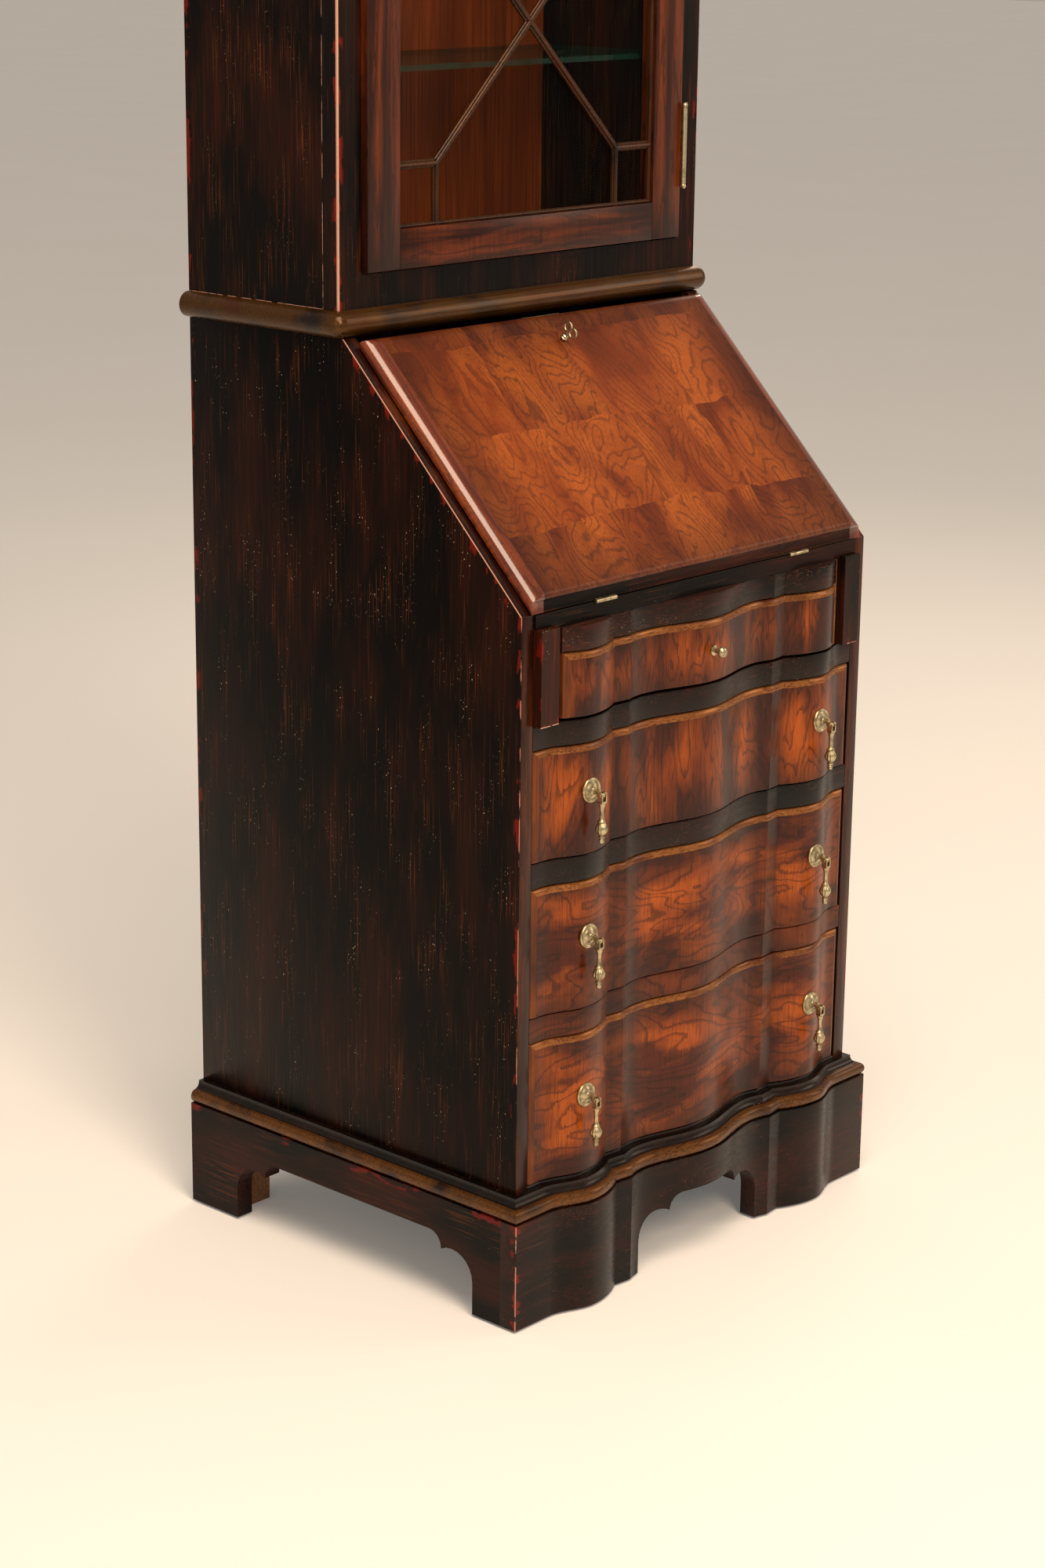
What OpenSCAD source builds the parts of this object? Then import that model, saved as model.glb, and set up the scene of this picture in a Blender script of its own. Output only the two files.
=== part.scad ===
// Secretary desk: a slant-front desk with a three-lobed serpentine front on a bracket plinth,
// carrying a narrow glazed bookcase. Millimetres, +Z up, the desk faces -Y.
// The sub-parts are drawn in case coordinates: x = 0 at the middle, y = 0 at the front edges
// of the desk sides and z = 0 on the floor. in_frame() moves them to the origin of the part.

/* [Case] */
// Width of the desk case and of the bookcase
case_w = 571.5; // [500:1:700]
// Depth of the desk case
case_d = 485; // [440:1:600]
// Thickness of the side panels
side_t = 19; // [15:0.5:25]
// Thickness of the back panels
back_t = 8; // [5:0.5:12]
// Thickness of the waist board with its half-round edge
waist_t = 27.5; // [22:0.5:34]
// How far the waist board stands out at the front and sides
waist_out = 14.5; // [8:0.5:20]
// Height of the waist board's underside above the slant's lower corner
slant_h = 251.5; // [205:0.5:305]

/* [Plinth] */
// Height of the glides under the feet
glide_h = 3; // [2:0.5:6]
// Radius of a glide
glide_r = 9; // [6:0.5:12]
// Height of the plinth boards
plinth_h = 119.5; // [100:0.5:150]
// How far the plinth boards stand out from the case
plinth_out = 19; // [15:0.5:24]
// How far the plinth boards reach in under the case
plinth_in = 3; // [2:0.5:8]
// Height of the moulding on the plinth
moulding_h = 24; // [18:0.5:32]
// Height of the apron's lower edge above the feet's soles
apron_z = 80; // [65:1:90]
// Width of a side foot at the front, measured on the sole
foot_front_w = 62; // [50:1:80]
// Width of a side foot at the back, measured on the sole
foot_back_w = 76; // [50:1:90]
// Half of the free width between the feet of the front board
foot_gap_half = 103; // [80:1:110]

/* [Serpentine front] */
// How far the lobes stand out
lobe_out = 15.5; // [8:0.5:20]
// Flat stretch between the case corner and the outer lobe
flat_w = 35.75; // [30:0.25:45]
// Outer half of an outer lobe
lobe_outer_w = 55; // [40:1:60]
// Inner half of an outer lobe
lobe_inner_w = 52; // [40:1:60]
// Width of the narrow strip beside the middle lobe
strip_w = 22; // [15:1:30]
// How far the strip's arris stands out
arris_out = 3; // [1:0.5:5]
// Width of the hollow between the strip and the middle lobe
hollow_w = 26; // [18:1:32]
// Depth of that hollow behind the flat stretch
hollow_in = 2; // [0:0.5:4]

/* [Drawers] */
// Height of the rail under the bottom drawer, above the plinth moulding
foot_rail_h = 4.5; // [3:0.5:12]
// Height of the bottom drawer's opening
drawer_4_h = 159; // [120:0.5:190]
// Height of the lower rail
rail_lower_h = 27; // [20:0.5:35]
// Height of the second lowest opening
drawer_3_h = 141.5; // [110:0.5:170]
// Height of the middle rail
rail_middle_h = 27.5; // [20:0.5:35]
// Height of the second opening
drawer_2_h = 120; // [90:0.5:145]
// Height of the upper rail
rail_upper_h = 28; // [20:0.5:35]
// Height of the top opening, beside the lopers
drawer_1_h = 70; // [58:0.5:85]
// Height of the apron rail over the top drawer
apron_h = 26.4; // [16:0.2:40]
// Gap round a drawer front
front_gap = 1; // [0.6:0.1:2]
// How far the drawer fronts stand in front of the rails
front_proud = 1.5; // [0:0.5:4]
// Air left behind a drawer
drawer_air = 42; // [10:1:80]
// Depth behind the case front of a drawer front's back face
front_back = 20; // [14:1:26]
// Thickness of the drawer sides and backs
box_t = 12; // [8:0.5:16]
// Thickness of the drawer bottoms
box_bottom_t = 6; // [4:0.5:9]
// Air left over a drawer box
box_air = 10; // [6:1:16]
// Width of the rails from front to back
rail_d = 60; // [45:1:90]
// Thickness of the runners under the drawers
runner_t = 12; // [8:0.5:18]

/* [Lopers] */
// Width of a loper
loper_w = 27; // [20:0.5:32]
// How far a closed loper stands out of the case
loper_out = 10; // [4:0.5:16]
// Air left behind a closed loper
loper_air = 97; // [40:1:140]
// Thickness of the partition beside a loper
divider_t = 9; // [6:0.5:14]
// How far the lopers' soles lie below the top drawer's opening
loper_drop = 2; // [0:0.5:5]
// Clearance round a loper
loper_gap = 0.6; // [0.4:0.1:1.5]
// Gap between an opened lid and the lopers
lid_rest_gap = 0.4; // [0.3:0.1:1]

/* [Lid] */
// Thickness of the lid
lid_t = 15; // [12:0.5:20]
// Thickness of the writing bed
bed_t = 18; // [14:0.5:24]
// How far the lid's edges stay inside the case's outer faces
lid_inset = 11.75; // [6:0.25:15]
// How far the lid's top edge stays below the waist board, up the slant
lid_top_gap = 9.7; // [6:0.1:14]
// Distance of the hinge axis in front of the case
hinge_out = 2.5; // [1.5:0.5:4]
// Radius of the lid's hinge barrels
lid_barrel_r = 2.4; // [1.8:0.1:3]
// Length of a lid hinge
lid_hinge_len = 32; // [24:1:50]
// Distance of the lid hinges from the middle
lid_hinge_x = 161; // [120:1:200]
// Thickness of the hinge leaves
leaf_t = 1.2; // [0.8:0.1:2]
// Width of a leaf of the lid's hinges
lid_leaf_w = 20; // [14:1:30]
// Distance of the keyhole below the lid's top edge
keyhole_down = 39; // [30:1:55]

/* [Bookcase] */
// How far the bookcase stands behind the slant's top
book_back = 6.5; // [0:0.5:20]
// Thickness of the face frame
frame_t = 22; // [16:0.5:28]
// Width of the face frame's stiles
frame_stile_w = 33.5; // [28:0.5:45]
// Height of the face frame's rails
frame_rail_h = 34; // [25:1:60]
// Gap round the door
door_gap = 2.3; // [1.5:0.1:3.5]
// Thickness of the door
door_t = 20; // [16:0.5:26]
// How far the door stands in front of the face frame
door_proud = 7.5; // [4:0.5:10]
// Width of the door's stiles
door_stile_w = 47.5; // [35:0.5:60]
// Height of the door's rails
door_rail_h = 41.5; // [35:0.5:60]
// Height of the short bars' corner above the glass opening's edge
bar_corner_z = 64; // [50:1:90]
// Distance of that corner from the opening's side
bar_corner_x = 59; // [40:1:80]
// Half of the height of one crossing of the slanted bars
bar_rise = 139.5; // [110:0.5:150]
// Width of the glazing bars
bar_w = 9; // [6:0.5:14]
// Thickness of the glazing bars in front of the glass
bar_t = 7; // [5:0.5:9]
// Width of the bead round the glass
bead_w = 4; // [3:0.5:6]
// Thickness of the door's glass
pane_t = 3; // [2:0.5:5]
// Thickness of the bookcase's top and bottom
board_t = 18; // [15:0.5:22]
// Thickness of the glass shelves
shelf_t = 6; // [5:0.5:9]
// Distance between the glass shelves
shelf_pitch = 200; // [150:5:230]
// Number of glass shelves
shelf_n = 3; // [1:1:3]
// Height of the cornice
cornice_h = 70; // [40:1:110]
// How far the cornice stands out
cornice_out = 42; // [20:1:60]

/* [Hardware] */
// Radius of a pull's rosette
rosette_r = 13.5; // [10:0.5:16]
// Thickness of a rosette's rim
rosette_t = 3; // [2:0.5:5]
// Distance of a drop's pivot in front of its rosette
pivot_out = 12; // [9:0.5:16]
// Distance of a drop's pivot under the rosette's middle
pivot_down = 2.5; // [0:0.5:5]
// Length of a drop below its pivot
drop_len = 52; // [40:1:62]
// Height of the rosettes above the middle of the drawer front
pull_lift = 9; // [0:0.5:15]
// Radius of the turned knobs
knob_r = 6.2; // [5:0.2:10]
// How far the knobs stand out
knob_out = 17; // [12:0.5:25]

/* [Gallery] */
// Depth of the pigeonholes inside the desk
gallery_d = 165; // [120:1:200]
// Height of the pigeonholes
gallery_h = 190; // [150:1:215]
// Thickness of the pigeonholes' boards
gallery_t = 8; // [6:0.5:12]
// Height of the small drawer under the pigeonholes
small_drawer_h = 55; // [40:1:70]
// Number of pigeonholes
pigeonhole_n = 4; // [2:1:5]

/* [Hidden] */
$fn = 48;
eps = 0.01;
touch = 0.05;
root2 = sqrt(2);
ebony = "#241510";
rubbed = "#5a3a1e";
veneer = "#8a3f1c";
inner_wood = "#a5662f";
brass = "#a3946b";

moulding_steps = 10;
torus_share = 0.6;
torus_bulge = 6;
moulding_lip = 6.5;

half_w = case_w / 2;
inner_half = half_w - side_t;
lobe_end = half_w - flat_w;
lobe_x = lobe_end - lobe_outer_w;
nook_x = lobe_x - lobe_inner_w;
arris_x = nook_x - strip_w;
hollow_x = arris_x - hollow_w;

plinth_top = glide_h + plinth_h;
moulding_top = plinth_top + moulding_h;
z4 = moulding_top + foot_rail_h;
z_lower = z4 + drawer_4_h;
z3 = z_lower + rail_lower_h;
z_middle = z3 + drawer_3_h;
z2 = z_middle + rail_middle_h;
z_upper = z2 + drawer_2_h;
z1 = z_upper + rail_upper_h;
z_apron = z1 + drawer_1_h;
knob_1_z = z1 + drawer_1_h / 2;
bed_under = z_apron + apron_h;
bed_z = bed_under + bed_t;
slant_z = bed_z + 0.1;
loper_top = bed_z - lid_t - lid_rest_gap;
guide_z = z1 - loper_drop;
slot_half = inner_half - loper_w - 2 * loper_gap - divider_t;
waist_z = slant_z + slant_h;
book_z = waist_z + waist_t;
book_y = slant_h + book_back;
drawer_len = case_d - back_t - front_back - drawer_air;
loper_len = case_d - back_t - loper_air;

door_half = half_w - frame_stile_w - door_gap;
glass_half = door_half - door_stile_w;
glass_h = 2 * bar_corner_z + 4 * bar_rise;
door_z = book_z + frame_rail_h + door_gap;
glass_z = door_z + door_rail_h;
door_h = glass_h + 2 * door_rail_h;
book_top = door_z + door_h + door_gap + frame_rail_h;
door_y = book_y - door_proud;
door_axis_x = door_half + door_gap / 2 + 0.3;
door_barrel_r = 3;
door_axis_y = door_y - door_barrel_r - 0.3;
door_hinge_len = 84;
door_hinge_zs = [door_z + 60, door_z + door_h - 60 - door_hinge_len];
bar_x = glass_half - bar_corner_x;

lid_half = half_w - lid_inset;
lid_low = 1;
lid_high = slant_h * root2 - lid_top_gap;
lid_chamfer = 9;
lid_thumb_w = 18;
lid_thumb_h = 10.5;
lid_top_thumb_w = 10;
lock_w = 60;
lock_h = 34;
lock_t = 8;
keyhole_r = 3.2;
key_y = lid_high - keyhole_down;
bolt_w = 12;
bolt_t = 4;
bolt_travel = 7;
bolt_len = 22;
bolt_z = 3.2;
bolt_gap = 0.4;
hinge_gap = 0.4;
leaf_gap = 0.3;

pull_x = lobe_x;
swell_pull = lobe_out + front_proud;
bulb_r = 6.8;
pin_r = 1;
pin_gap = 0.35;
stud_r = 2.5;
stud_gap = 0.1;
nut_r = 5;
nut_t = 3;
knob_stud = 12;
front_reach = swell_pull + rosette_t + pivot_out + bulb_r;
origin_y = (front_reach - case_d) / 2;

small_clear = 6;
gallery_front = case_d - back_t - gallery_d;
pigeonhole_w = (2 * inner_half - gallery_t * (pigeonhole_n + 1)) / pigeonhole_n;
small_half = pigeonhole_w / 2;
small_z = bed_z + gallery_t;
small_wall = 5;
small_gap = 0.6;
small_front_t = knob_stud + 2;
small_d = gallery_d - gallery_t - small_clear;

shelf_gap = 1;
shelf_y0 = book_y + frame_t + 2;
shelf_y1 = case_d - back_t - shelf_gap;
pin_len = 8;
shelf_pin_r = 2.5;

door_leaf_t = 0.9;
door_leaf_w = 16;
finial_r = 3.4;
bar_set_back = 2;
pane_y = door_y + bar_set_back + bar_t;
pane_in = 6;
groove_gap = 0.2;
knuckle = door_hinge_len / 5;
knuckle_gap = 0.6;
knuckle_cut = 1.5;

// Moves a sub-part from case coordinates to the origin of the part
module in_frame() {
  translate([0, origin_y, 0]) children();
}

// How far the serpentine front stands out at a distance x from the middle
function swell(x) = let(a = abs(x))
  a >= lobe_end ? 0 :
  a >= lobe_x ? lobe_out * (1 + cos(180 * (a - lobe_x) / lobe_outer_w)) / 2 :
  a >= nook_x ? lobe_out * (1 - pow((lobe_x - a) / lobe_inner_w, 2)) :
  a >= arris_x ? arris_out * (nook_x - a) / strip_w :
  a >= hollow_x ? (arris_out + hollow_in) * pow((a - hollow_x) / hollow_w, 2) - hollow_in :
  (lobe_out + hollow_in) * (1 + cos(180 * a / hollow_x)) / 2 - hollow_in;

function run(a, b, n) = [for (i = [0:n - 1]) a + (b - a) * i / n];

// Places along x, from the middle to a half width, dense where the front curves
function half_places(half) = let(curve = concat(
    run(0, hollow_x, 10), run(hollow_x, arris_x, 4), run(arris_x, nook_x, 1),
    run(nook_x, lobe_x, 7), run(lobe_x, lobe_end, 8), [lobe_end]))
  concat([for (x = curve) if (x < half - 0.5) x], [half]);

function places(half) = let(p = half_places(half), n = len(p))
  concat([for (i = [n - 1:-1:1]) -p[i]], p);

// Front outline from the left end of a width to its right end
function front_line(half, out) = [for (x = places(half)) [x, -out - swell(x)]];

// Outline of a piece with the serpentine front, from a flat back to the swelled face
function front_plan(half, out, back) = concat(front_line(half, out), [[half, back], [-half, back]]);

// A flat-backed piece with the serpentine front
module serpentine(half, out, back, z, h) {
  translate([0, 0, z]) linear_extrude(h) polygon(front_plan(half, out, back));
}

module block(x0, x1, y0, y1, z0, z1) {
  translate([x0, y0, z0]) cube([x1 - x0, y1 - y0, z1 - z0]);
}

// Moves a piece drawn up the slant: x across, y up the slant, z outward from the lid's inner face
module on_slant() {
  translate([0, -hinge_out, bed_z]) rotate([45, 0, 0]) children();
}

// ---- plinth ----

// Outline of half the space under an apron, from a foot's inner edge over the cusp to the apron
function apron_half() = let(
    foot_straight = 36, cusp_x = 46, cusp_z = 62, rise = apron_z - cusp_z, up = cusp_z - foot_straight,
    r = (cusp_x * cusp_x + up * up) / (2 * cusp_x), turn = atan2(up, cusp_x - r), n = 8)
  concat(
    [[0, -1], [0, foot_straight]],
    [for (i = [1:n]) let(a = 180 + (turn - 180) * i / n) [r + r * cos(a), foot_straight + r * sin(a)]],
    [for (i = [1:n]) let(a = 180 - 90 * i / n) [cusp_x + rise + rise * cos(a), cusp_z + rise * sin(a)]]);

module apron_cut(w) {
  p = apron_half();
  n = len(p);
  polygon(concat(p, [for (i = [n - 1:-1:0]) [w - p[i][0], p[i][1]]]));
}

module plinth_front() {
  color(ebony) in_frame() difference() {
    serpentine(half_w + plinth_out, plinth_out, plinth_in, glide_h, plinth_h);
    translate([-foot_gap_half, case_d, glide_h]) rotate([90, 0, 0])
      linear_extrude(2 * case_d) apron_cut(2 * foot_gap_half);
  }
}

module plinth_side() {
  span = case_d + plinth_out - foot_front_w - foot_back_w;
  difference() {
    block(half_w - plinth_in, half_w + plinth_out, plinth_in, case_d, glide_h, plinth_top);
    translate([0, foot_front_w - plinth_out, glide_h]) rotate([90, 0, 90])
      linear_extrude(case_w) apron_cut(span);
  }
}

module plinth_side_left() {
  color(ebony) in_frame() mirror([1, 0, 0]) plinth_side();
}

module plinth_side_right() {
  color(ebony) in_frame() plinth_side();
}

module plinth_back() {
  x_in = half_w - plinth_in;
  color(ebony) in_frame() difference() {
    block(-x_in, x_in, case_d - side_t, case_d, glide_h, plinth_top);
    translate([foot_back_w - x_in, case_d + 1, glide_h]) rotate([90, 0, 0])
      linear_extrude(case_d) apron_cut(2 * (x_in - foot_back_w));
  }
}

// A torus below and a cove above it, as a stack of thin steps round the front and sides
module plinth_moulding() {
  color(rubbed) in_frame() for (i = [0:moulding_steps - 1]) moulding_layer(i);
}

// How far the moulding stands out at a share u of its height
function moulding_out(u) = u < torus_share
  ? plinth_out - torus_bulge * (1 - sqrt(1 - pow(2 * u / torus_share - 1, 2)))
  : moulding_lip + (plinth_out - torus_bulge - moulding_lip)
    * (1 - sqrt(1 - pow((1 - u) / (1 - torus_share), 2)));

module moulding_layer(i) {
  step = moulding_h / moulding_steps;
  out = moulding_out((i + 0.5) / moulding_steps);
  inner = front_line(half_w, 0);
  n = len(inner);
  translate([0, 0, plinth_top + i * step]) linear_extrude(step) polygon(concat(
    front_line(half_w + out, out), [[half_w + out, case_d], [half_w, case_d]],
    [for (k = [n - 1:-1:0]) inner[k]], [[-half_w, case_d], [-half_w - out, case_d]]));
}

module corner_blocks() {
  size = 42;
  x_out = half_w - plinth_in;
  color(inner_wood) in_frame() for (s = [-1, 1]) {
    block(min(s * x_out, s * (x_out - size)), max(s * x_out, s * (x_out - size)),
      plinth_in, plinth_in + size, glide_h, plinth_top);
    block(min(s * x_out, s * (x_out - size)), max(s * x_out, s * (x_out - size)),
      case_d - side_t - size, case_d - side_t, glide_h, plinth_top);
  }
}

module glides() {
  x = half_w - plinth_in - 12;
  color("#c9b6a8") in_frame() for (s = [-1, 1]) for (y = [plinth_in + 12, case_d - side_t - 14])
    translate([s * x, y, 0]) cylinder(r = glide_r, h = glide_h);
}

// ---- desk case ----

module side_panel() {
  top_y = waist_z - slant_z;
  translate([inner_half, 0, 0]) rotate([90, 0, 90]) linear_extrude(side_t)
    polygon([[0, plinth_top], [case_d, plinth_top], [case_d, waist_z], [top_y, waist_z], [0, slant_z]]);
}

module side_left() {
  color(ebony) in_frame() mirror([1, 0, 0]) side_panel();
}

module side_right() {
  color(ebony) in_frame() side_panel();
}

module case_bottom() {
  color(ebony) in_frame() serpentine(inner_half, 0, case_d - back_t, plinth_top, z4 - plinth_top);
}

module case_back() {
  color(inner_wood) in_frame() block(-inner_half, inner_half, case_d - back_t, case_d, plinth_top, waist_z);
}

// A board whose front and side edges are half round
module waist_board() {
  r = waist_t / 2;
  x = half_w + waist_out - r;
  y = book_y - waist_out + r;
  color(rubbed) in_frame() difference() {
    union() {
      block(-x, x, y, case_d, waist_z, book_z);
      translate([-x, y, waist_z + r]) rotate([0, 90, 0]) cylinder(r = r, h = 2 * x);
      for (s = [-1, 1]) {
        translate([s * x, y, waist_z + r]) rotate([-90, 0, 0]) cylinder(r = r, h = case_d - y);
        translate([s * x, y, waist_z + r]) sphere(r);
      }
    }
    bolt_hole();
  }
}

// The writing surface, with its front edge above the apron rail
module writing_bed() {
  gap = lid_barrel_r + hinge_gap;
  color(ebony) in_frame() difference() {
    block(-inner_half, inner_half, -hinge_out + 0.5, case_d - back_t, bed_under, bed_z);
    at_lid_hinges() translate([-hinge_gap, 0, 0]) rotate([0, 90, 0])
      cylinder(r = gap, h = lid_hinge_len + 2 * hinge_gap);
    at_lid_hinges() translate([-leaf_gap, 0, -leaf_t - leaf_gap])
      cube([lid_hinge_len + 2 * leaf_gap, lid_leaf_w + leaf_gap, leaf_t + 1]);
    for (s = [0, 1]) mirror([s, 0, 0])
      block(slot_half + divider_t, inner_half + 1, -hinge_out, case_d, bed_under - 1, loper_top + loper_gap);
  }
}

module apron_rail() {
  color(ebony) in_frame() serpentine(slot_half, 0, rail_d, z_apron, bed_under - z_apron);
}

module rail_upper() {
  color(ebony) in_frame() serpentine(inner_half, 0, rail_d, z_upper, guide_z - z_upper);
}

module rail_middle() {
  color(ebony) in_frame() serpentine(inner_half, 0, rail_d, z_middle, rail_middle_h);
}

module rail_lower() {
  color(veneer) in_frame() serpentine(inner_half, 0, rail_d, z_lower, rail_lower_h);
}

// Runners under the three long drawers, dust board of the top drawer, and the lopers' partitions
module drawer_guides() {
  runner_w = 30;
  color(inner_wood) in_frame() {
    for (s = [0, 1]) mirror([s, 0, 0]) {
      for (top = [z3, z2])
        block(inner_half - runner_w, inner_half, rail_d, case_d - back_t, top - runner_t, top);
      block(slot_half, slot_half + divider_t, 1, case_d - back_t, guide_z, bed_under);
    }
    block(-inner_half, inner_half, rail_d, case_d - back_t, guide_z - runner_t, guide_z);
  }
}

// ---- lopers ----

module loper() {
  x = slot_half + divider_t + loper_gap;
  block(x, x + loper_w, -loper_out, loper_len, guide_z + loper_gap / 2, loper_top);
}

module loper_left() {
  color(rubbed) in_frame() mirror([1, 0, 0]) loper();
}

module loper_right() {
  color(rubbed) in_frame() loper();
}

// ---- drawers ----

module drawer_front(half, z, h) {
  color(veneer) in_frame() difference() {
    serpentine(half - front_gap, front_proud, front_back, z + front_gap, h - 2 * front_gap);
    children();
  }
}

module pull_bores(z, h) {
  for (s = [-1, 1]) translate([s * pull_x, case_d, pull_z(z, h)]) rotate([90, 0, 0])
    cylinder(r = stud_r + stud_gap, h = 2 * case_d);
}

// Sides, back and bottom of a drawer, open at the top and closed in front by the drawer front
module drawer_box(half, z, h) {
  outer = half - front_gap - 0.5;
  z0 = z + 0.3;
  top = z + h - box_air;
  color(inner_wood) in_frame() difference() {
    block(-outer, outer, front_back, front_back + drawer_len, z0, top);
    block(-outer + box_t, outer - box_t, front_back - 1, front_back + drawer_len - box_t,
      z0 + box_bottom_t, top + 1);
  }
}

function pull_z(z, h) = z + h / 2 + pull_lift;

// A turned rosette with its tongue and eye in front, and its stud and nut behind
module rosette(x, z) {
  stem_r = 3;
  tongue_w = 4;
  eye_r = 2.9;
  pin_z = z - pivot_down;
  axis_y = -swell_pull - rosette_t - pivot_out;
  stem_y = axis_y + 4.5;
  difference() {
    union() {
      translate([x, -swell_pull, z]) rotate([90, 0, 0]) cylinder(r = rosette_r, h = rosette_t);
      translate([x, -swell_pull - rosette_t + touch, z]) rotate([90, 0, 0])
        cylinder(r1 = rosette_r * 0.6, r2 = stem_r, h = pivot_out * 0.4);
      translate([x, stem_y, z]) rotate([-90, 0, 0]) cylinder(r = stem_r, h = pivot_out - 4.5 + 1);
      block(x - tongue_w / 2, x + tongue_w / 2, axis_y, stem_y + 1, pin_z - eye_r * 0.8, pin_z + eye_r);
      translate([x - tongue_w / 2, axis_y, pin_z]) rotate([0, 90, 0]) cylinder(r = eye_r, h = tongue_w);
      translate([x, front_back + nut_t + 1, z]) rotate([90, 0, 0])
        cylinder(r = stud_r, h = front_back + nut_t + 1 + swell_pull + 1);
      translate([x, front_back + nut_t, z]) rotate([90, 0, 0]) cylinder(r = nut_r, h = nut_t, $fn = 6);
    }
    translate([x - tongue_w, axis_y, pin_z]) rotate([0, 90, 0])
      cylinder(r = pin_r + pin_gap, h = 2 * tongue_w);
  }
}

module rosettes(z, h) {
  color(brass) in_frame() for (s = [-1, 1]) rosette(s * pull_x, pull_z(z, h));
}

// A hanging drop: a fork with its pin, a slender neck, a bulb and a ball
module drop(s, z, h) {
  fork_w = 7.6;
  fork_gap = 4.7;
  fork_r = 3.6;
  fork_low = 8;
  crown = 2;
  axis_y = -swell_pull - rosette_t - pivot_out;
  color(brass) in_frame() translate([s * pull_x, axis_y, pull_z(z, h) - pivot_down]) {
    difference() {
      union() {
        translate([-fork_w / 2, 0, 0]) rotate([0, 90, 0]) cylinder(r = fork_r, h = fork_w);
        block(-fork_w / 2, fork_w / 2, -fork_r * 0.8, fork_r * 0.8, -fork_low, 0);
      }
      block(-fork_gap / 2, fork_gap / 2, -fork_r - 1, fork_r + 1, -fork_low + crown, fork_r + 1);
    }
    translate([-fork_w / 2, 0, 0]) rotate([0, 90, 0]) cylinder(r = pin_r, h = fork_w);
    translate([0, 0, -drop_len]) rotate_extrude() polygon(drop_outline(fork_low - 0.5));
  }
}

// Half outline of the drop below its fork, from the ball at the bottom upwards
function drop_outline(clear) = let(top = drop_len - clear, neck = 2.4) concat(
  [[0, 0]],
  [for (a = [30:30:150]) [3 * sin(a), 3 - 3 * cos(a)]],
  [[3.2, 6.6], [3.2, 7.6], [2, 8.4]],
  [for (a = [0:15:180]) [neck + (bulb_r - neck) * sin(a), 9 + 6.5 * (1 - cos(a))]],
  [[4, 23], [3.4, 25], [2.5, 34], [2.6, top - 3], [3.6, top - 1.5], [3.6, top], [0, top]]);

// A turned knob standing on a face that looks to the front, with its stud in the wood
module knob(x, y, z) {
  base_h = 1.5;
  neck = 0.42;
  translate([x, y, z]) rotate([90, 0, 0]) rotate_extrude() polygon(concat(
    [[0, -knob_stud], [stud_r, -knob_stud], [stud_r, 0], [knob_r * 0.9, 0], [knob_r * 0.9, base_h],
      [knob_r * neck, 2 * base_h], [knob_r * neck, knob_out * 0.5]],
    [for (a = [15:15:90]) [knob_r * (neck + (1 - neck) * sin(a)), knob_out * (0.5 + 0.2 * (1 - cos(a)))]],
    [for (a = [15:15:90]) [knob_r * cos(a), knob_out * (0.7 + 0.3 * sin(a))]]));
}

module knob_bore(x, y, z) {
  translate([x, y + knob_stud + stud_gap, z]) rotate([90, 0, 0])
    cylinder(r = stud_r + stud_gap, h = knob_stud + 2);
}

module drawer_1_front() {
  drawer_front(slot_half, z1, drawer_1_h) knob_bore(0, -swell_pull, knob_1_z);
}

module drawer_2_front() {
  drawer_front(inner_half, z2, drawer_2_h) pull_bores(z2, drawer_2_h);
}

module drawer_3_front() {
  drawer_front(inner_half, z3, drawer_3_h) pull_bores(z3, drawer_3_h);
}

module drawer_4_front() {
  drawer_front(inner_half, z4, drawer_4_h) pull_bores(z4, drawer_4_h);
}

module drawer_1_box() {
  drawer_box(slot_half, z1, drawer_1_h);
}

module drawer_2_box() {
  drawer_box(inner_half, z2, drawer_2_h);
}

module drawer_3_box() {
  drawer_box(inner_half, z3, drawer_3_h);
}

module drawer_4_box() {
  drawer_box(inner_half, z4, drawer_4_h);
}

module drawer_2_rosettes() {
  rosettes(z2, drawer_2_h);
}

module drawer_3_rosettes() {
  rosettes(z3, drawer_3_h);
}

module drawer_4_rosettes() {
  rosettes(z4, drawer_4_h);
}

module drop_2_left() {
  drop(-1, z2, drawer_2_h);
}

module drop_2_right() {
  drop(1, z2, drawer_2_h);
}

module drop_3_left() {
  drop(-1, z3, drawer_3_h);
}

module drop_3_right() {
  drop(1, z3, drawer_3_h);
}

module drop_4_left() {
  drop(-1, z4, drawer_4_h);
}

module drop_4_right() {
  drop(1, z4, drawer_4_h);
}

module drawer_1_knob() {
  color(brass) in_frame() knob(0, -swell_pull, knob_1_z);
}

// ---- lid ----

// Places a child at the left end of each of the lid's two hinges, in case coordinates
module at_lid_hinges() {
  for (s = [-1, 1]) translate([s * lid_hinge_x - lid_hinge_len / 2, -hinge_out, bed_z]) children();
}

// Half outlines of the lid: up the slant with a plumb lower edge, and across with thumb mouldings
function lid_rise() = let(r = lid_t - lid_chamfer, t = lid_top_thumb_w, e = lid_t - lid_thumb_h) concat(
  [[lid_low, 0], [lid_low + lid_chamfer, lid_chamfer]],
  [for (a = [15:15:90]) [lid_low + lid_chamfer + r * (1 - cos(a)), lid_chamfer + r * sin(a)]],
  [for (a = [90:-15:0]) [lid_high - t + t * cos(a), e + lid_thumb_h * sin(a)]],
  [[lid_high, 0]]);

function lid_side() = let(w = lid_thumb_w, e = lid_t - lid_thumb_h)
  [for (a = [0:10:90]) [lid_half - w + w * cos(a), e + lid_thumb_h * sin(a)]];

function lid_across() = let(p = lid_side(), n = len(p))
  concat([[-lid_half, 0], [lid_half, 0]], p, [for (i = [n - 1:-1:0]) [-p[i][0], p[i][1]]]);

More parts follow.
